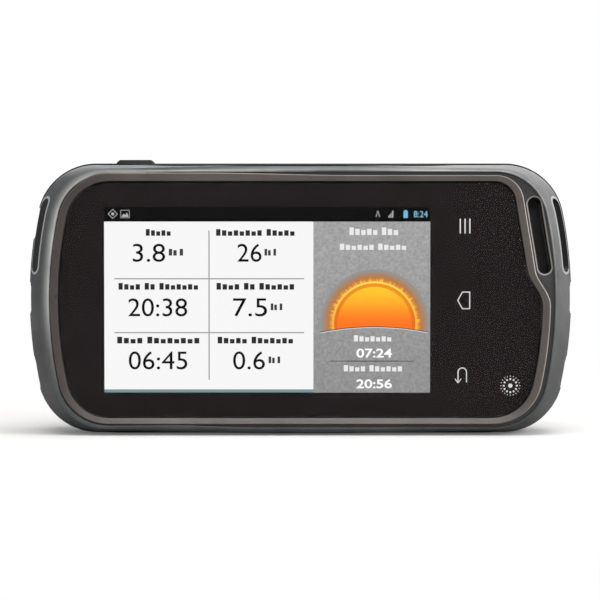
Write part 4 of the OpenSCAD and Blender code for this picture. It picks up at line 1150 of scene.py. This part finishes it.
# Weather caps -----------------------------------------------------------
# Two soft caps over the sockets in the right end. Each swings on its back edge, and its face
# carries on the curve of the housing, with a nail notch at its front edge.
cap_gap = 0.25
cap_rubber = finish("weather cap rubber", "242526", 0.6, grain=3200, bump=0.03, tone=0.15)
for name, node_name, body, (low, high) in (("port_cap_lid", "port_cap", "port_cap", PORT_CAP),
                                           ("audio_cap_lid", "audio_cap", "audio_cap", AUDIO_CAP)):
    cap = back_form(name, 0.06, 21.1)
    lid = round_box(low + cap_gap, high - cap_gap, CAP_FRONT + cap_gap, CAP_BACK - cap_gap, 0.5)
    combine("INTERSECT", cap, prism("lid", [(d, z) for z, d in lid], CAP_FLOOR_X + cap_gap, CASE_HL + 1,
                                    along="length"))
    notch = stadium(22.2, (low + high) / 2, 0.55, min(3.2, (high - low) / 4))
    cut(cap, prism("notch", notch, CASE_HL - 2.5, CASE_HL + 1, along="length"))
    dress(cap, cap_rubber, "cap_rubber", body, node_name)


# Battery cover ----------------------------------------------------------
# A moulded lid over the battery, with a raised spine that slides into mounts and a round recess
# for the latch. Its edges are rounded where the tool leaves them.
spine_left, spine_right, neck_hh, lips_hh = -40.05, 30.05, 8.0, 10.0
cover_rows = [(29.4, 0.25), (29.6, 0.03), (29.8, 0), (30.6, 0), (31.0, 0.04), (31.4, 0.25), (31.8, 0.7),
              (32.2, 1.4), (32.6, 2.35), (32.85, 3.2), (32.95, 3.7), (33.0, 4.3)]


cover = loft("battery_lid", [(d, cover_outline(g)) for d, g in cover_rows])
neck = round_box(spine_left, spine_right, -neck_hh, neck_hh, 1.0)
lips = [(34.4, 0.25), (34.55, 0.05), (34.7, 0), (35.9, 0), (36.15, 0.1), (36.3, 0.4)]
combine("UNION", cover, prism("neck", neck, 32.7, 34.6),
        loft("lips", [(d, round_box(spine_left + g, spine_right - g, -lips_hh + g, lips_hh - g, 1.6 - g))
                      for d, g in lips]))
cut(cover, stack("recess", LATCH_X, 0, ((32.2, 8.2), (32.9, 8.2), (33.02, 8.35), (36.8, 8.35)), steps=72),
    rod(LATCH_X, 0, 3.1, 28.9, 36.8, steps=48),
    *[prism("groove", stadium(spine_left + 5 + 12 * k, 0, 0.5, 6.5), 36.05, 36.6) for k in range(6)])
cover_plastic = finish("cover plastic", "404244", 0.5, grain=3000, bump=0.035, tone=0.14)
dress(cover, cover_plastic, "cover_plastic", "battery_cover", "battery_cover")


# Latch ------------------------------------------------------------------
# A turned spindle through the cover, with a cam under it and two lugs on its head. A bent wire
# ring folds flat on the head and lifts to turn it.
latch_steel = finish("brushed latch steel", "9c9d9e", 0.3, grain=2400, bump=0.004, tone=0.08, metal=1.0)
HEAD_BACK, CAM_FRONT, CAM_BACK, BOW_R, WIRE_R = 33.6, 28.2, 29.2, 6.5, 0.9
RING_AXIS = HEAD_BACK + 0.05 + WIRE_R


head = ((CAM_FRONT, 1.7), (28.3, 1.8), (29.2, 1.8), (29.2, 2.85), (29.35, 3.0), (32.25, 3.0), (32.25, 5.15),
        (32.4, 5.3), (33.35, 5.3), (33.5, 5.2), (33.58, 5.0), (33.6, 4.8))
spindle = stack("spindle_head", LATCH_X, 0, head, steps=72)
lug_z, lug_r, lug_foot, eye_r = 3.65, 1.5, HEAD_BACK - 0.1, 0.95
for z in (-lug_z, lug_z):
    lug = [(LATCH_X - lug_r, lug_foot), (LATCH_X + lug_r, lug_foot), (LATCH_X + lug_r, RING_AXIS)]
    lug += arc(LATCH_X, RING_AXIS, lug_r, 0, 180, 16, whole=True)[1:]
    combine("UNION", spindle, prism("lug", lug, z - 0.75, z + 0.75, along="height"))
    cut(spindle, prism("eye", disc(LATCH_X, RING_AXIS, eye_r, 24), z - 1, z + 1, along="height"))

dress(spindle, latch_steel, "latch_steel", "latch", "latch_spindle")
oval = [(x, z) for z, x in stadium(0, 0, 2.0, 3.0)]
cam = loft("cam_plate", [(d, [(LATCH_X + x * s, z * s) for x, z in oval]) for d, s in
                         ((CAM_FRONT, 0.97), (28.28, 1), (29.12, 1), (CAM_BACK, 0.97))])
cut(cam, rod(LATCH_X, 0, 1.83, 27, 30))
dress(cam, latch_steel, "latch_steel", "latch", "latch_cam")
wire = [(LATCH_X, -BOW_R + 0.5 + (2 * BOW_R - 1) * k / 20) for k in range(1, 20)]
bow = arc(LATCH_X, 0, BOW_R, 90, -90, 36)[1:]
path = wire + [(LATCH_X + 0.25, BOW_R - 0.1)] + bow + [(LATCH_X + 0.25, -BOW_R + 0.1)]
rings = []
for k, (x, z) in enumerate(path):
    before, after = path[k - 1], path[(k + 1) % len(path)]
    along = Vector((after[0] - before[0], after[1] - before[1])).normalized()
    rings.append([place(x - along.y * c, RING_AXIS + s, z + along.x * c) for c, s in disc(0, 0, WIRE_R, 16)])
ring = new_piece("lifting_wire", *skin(rings, closed=True), sharp=60)
dress(ring, latch_steel, "latch_steel", "lifting_ring", "lifting_ring")


# Side keys --------------------------------------------------------------
# Three hard keys that press inwards, each with a flange that keeps it in the case and a nub over
# its switch. The power key stands proud on top and has sloped ends.
key_black = finish("key rubber", "141415", 0.5, grain=3600, bump=0.02, tone=0.15)
flange_top, flange_t, nub_h = CORE_HH - 2.4 - 0.3, 0.8, 0.4
for name in key_names:
    low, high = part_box(name)
    x, half = middle_of(name).x / MM, (high.x - low.x) / 2 / MM - key_flange
    up = 1 if name == "power_key" else -1
    top = (high.z / MM - MIDDLE) if up > 0 else (MIDDLE - low.z / MM)
    slope = 0.75 if up > 0 else 0.15
    rows = [(flange_top - flange_t, key_flange, key_flange), (flange_top, key_flange, key_flange),
            (flange_top, 0, 0), (top - slope - 0.05, 0, 0), (top - 0.12, -slope, -0.12),
            (top, -slope - 0.25, -0.35)]
    rings = []
    for z, along, across in rows:
        outline = round_box(x - half - along, x + half + along, key_depth - key_w / 2 - across,
                            key_depth + key_w / 2 + across, max(key_corner + min(along, across), 0.3))
        rings.append([place(a, d, up * z) for a, d in outline])
    key = new_piece(name + "_cap", *skin(rings, closed=False))
    foot = flange_top - flange_t
    combine("UNION", key, prism("nub", disc(x, key_depth, 1, 24), up * (foot - nub_h), up * (foot + 0.1),
                                along="height"))
    dress(key, key_black, "key", name, name)


# Screws -----------------------------------------------------------------
# Six long screws hold the two halves together from the back, and six short ones hold the main
# board. Each set is one screw set out at its places, with a six-sided socket in the head.
def screws_tree():
    """Node tree: one screw copied to every point of the piece's own mesh, each turned its own way."""
    tree, start, end = new_group("screws at points", "GeometryNodeTree",
                                 (("Geometry", "Geometry"), ("Screw", "Object"), ("Material", "Material")),
                                 (("Geometry", "Geometry"),))
    model = node(tree, "GeometryNodeObjectInfo", {"Object": start["Screw"]}, transform_space="ORIGINAL")
    spin = node(tree, "FunctionNodeRandomValue", {3: 1.05, "Seed": 7}, data_type="FLOAT")
    turn = node(tree, "ShaderNodeCombineXYZ", {"Y": spin.outputs[1]})
    set_out = node(tree, "GeometryNodeInstanceOnPoints", {
        "Points": start["Geometry"], "Instance": model.outputs["Geometry"], "Rotation": turn})
    whole = node(tree, "GeometryNodeRealizeInstances", {"Geometry": set_out})
    feed(tree, end, {"Geometry": node(tree, "GeometryNodeSetMaterial", {"Geometry": whole,
                                                                        "Material": start["Material"]})})
    return tree


def screw_model(tip, seat):
    """One screw at the origin: a threaded shank and a head with a socket, as depths from its seat."""
    pitch, crest_r, root_r = 0.4, 0.98, 0.82
    turns = int((seat - tip) / pitch)
    thread = [(tip - seat + k * pitch / 2, crest_r if k % 2 else root_r) for k in range(turns * 2)]
    head = [(-0.05, 0.95), (0.0, 0.95), (0.0, 1.72), (0.08, 1.8), (0.95, 1.8), (1.12, 1.68), (1.2, 1.5)]
    made = []
    for name, rows, sides in (("screw_model", thread + head, 24), ("socket", ((0.6, 0.9), (1.5, 0.9)), 6)):
        rings = [[Vector((x * MM, d * MM, z * MM)) for x, z in disc(0, 0, r, sides)] for d, r in rows]
        made.append(new_piece(name, *skin(rings, closed=False)))
    return cut(*made)


screw_steel = finish("blackened screw steel", "6c6d70", 0.32, grain=5200, bump=0.003, tone=0.1, metal=1.0)
SCREWS = screws_tree()
board_low, board_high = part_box("main_board")
board_hl, board_hh = board_high.x / MM, (board_high.z - board_low.z) / 2 / MM
board_back = board_high.y / MM - FRONT
board_points = [(x, z) for x in (-board_hl + 7, 0, board_hl - 7) for z in (-board_hh + 3.6, board_hh - 3.6)]
screw_sets = (("case_screw_set", "case_screws", screws_at, 6.9, 22.0),
              ("board_screw_set", "board_screws", board_points, 5.6, board_back))
for name, node_name, points, tip, seat in screw_sets:
    model = screw_model(tip, seat)
    spots = bpy.data.meshes.new(name)
    spots.from_pydata([tuple(place(x, seat, z)) for x, z in points], [], [])
    screws = grow(name, SCREWS, mesh=spots, Screw=model, Material=screw_steel)
    bpy.data.objects.remove(model)
    smooth(screws)
    dress(screws, screw_steel, "screw_steel", "case", node_name)


# Inner parts ------------------------------------------------------------
# Boards, shields, seals, sockets, cables and the battery keep their plain shapes. Their edges are
# eased a little, and each kind of part has its own finish.
def board_finish(name):
    """Green laminate with faint copper tracks under the lacquer."""
    material = finish(name, "1d4a2c", 0.35, grain=2500, bump=0.006, tone=0.1, Coat_Weight=0.3)
    tree = material.node_tree
    coords = node(tree, "ShaderNodeTexCoord")
    flat = node(tree, "ShaderNodeMapping", {"Vector": coords.outputs["Object"],
                                            "Rotation": (math.pi / 2, 0, 0)})
    tracks = node(tree, "ShaderNodeTexBrick", {"Vector": flat, "Scale": 260, "Mortar Size": 0.035})
    lay_over(material, tracks.outputs["Fac"], "3f7a45")
    return material


inner_finishes = {
    "adhesive": finish("foam adhesive", "1c1c1d", 0.8, grain=5000, bump=0.02),
    "display": finish("display edge", "1b1c1e", 0.3, grain=3000, bump=0.003),
    "sheet_steel": finish("tinned sheet", "b9bbbc", 0.34, grain=1800, bump=0.004, metal=1.0),
    "flex": finish("amber film cable", "a8661c", 0.4, grain=2000, bump=0.004, Coat_Weight=0.3),
    "board": board_finish("board laminate"),
    "black_part": finish("black moulded part", "191a1b", 0.5, grain=3600, bump=0.01),
    "screw_steel": screw_steel,
    "patch_ceramic": finish("patch ceramic", "c9b492", 0.55, grain=2600, bump=0.008),
    "seal_rubber": finish("seal rubber", "7c3f1c", 0.6, grain=3000, bump=0.01),
    "battery_sleeve": finish("battery sleeve", "202326", 0.4, grain=1800, bump=0.008, Coat_Weight=0.2),
    "window_glass": frosted,
    "cap_rubber": cap_rubber,
    "key": key_black,
    "latch_steel": latch_steel,
}
for part in frame["record"]["subparts"]:
    inner = frame["nodes"][part["node"]]
    if inner.hide_render:
        continue
    for holder in inner.material_slots:
        holder.material = inner_finishes[part["material_slot"]]
    joined = inner.modifiers.new("joined", "WELD")
    joined.merge_threshold = 1e-6
    eased = inner.modifiers.new("eased", "BEVEL")
    eased.width, eased.segments, eased.angle_limit = 0.06 * MM, 1, math.radians(40)
    eased.use_clamp_overlap = True
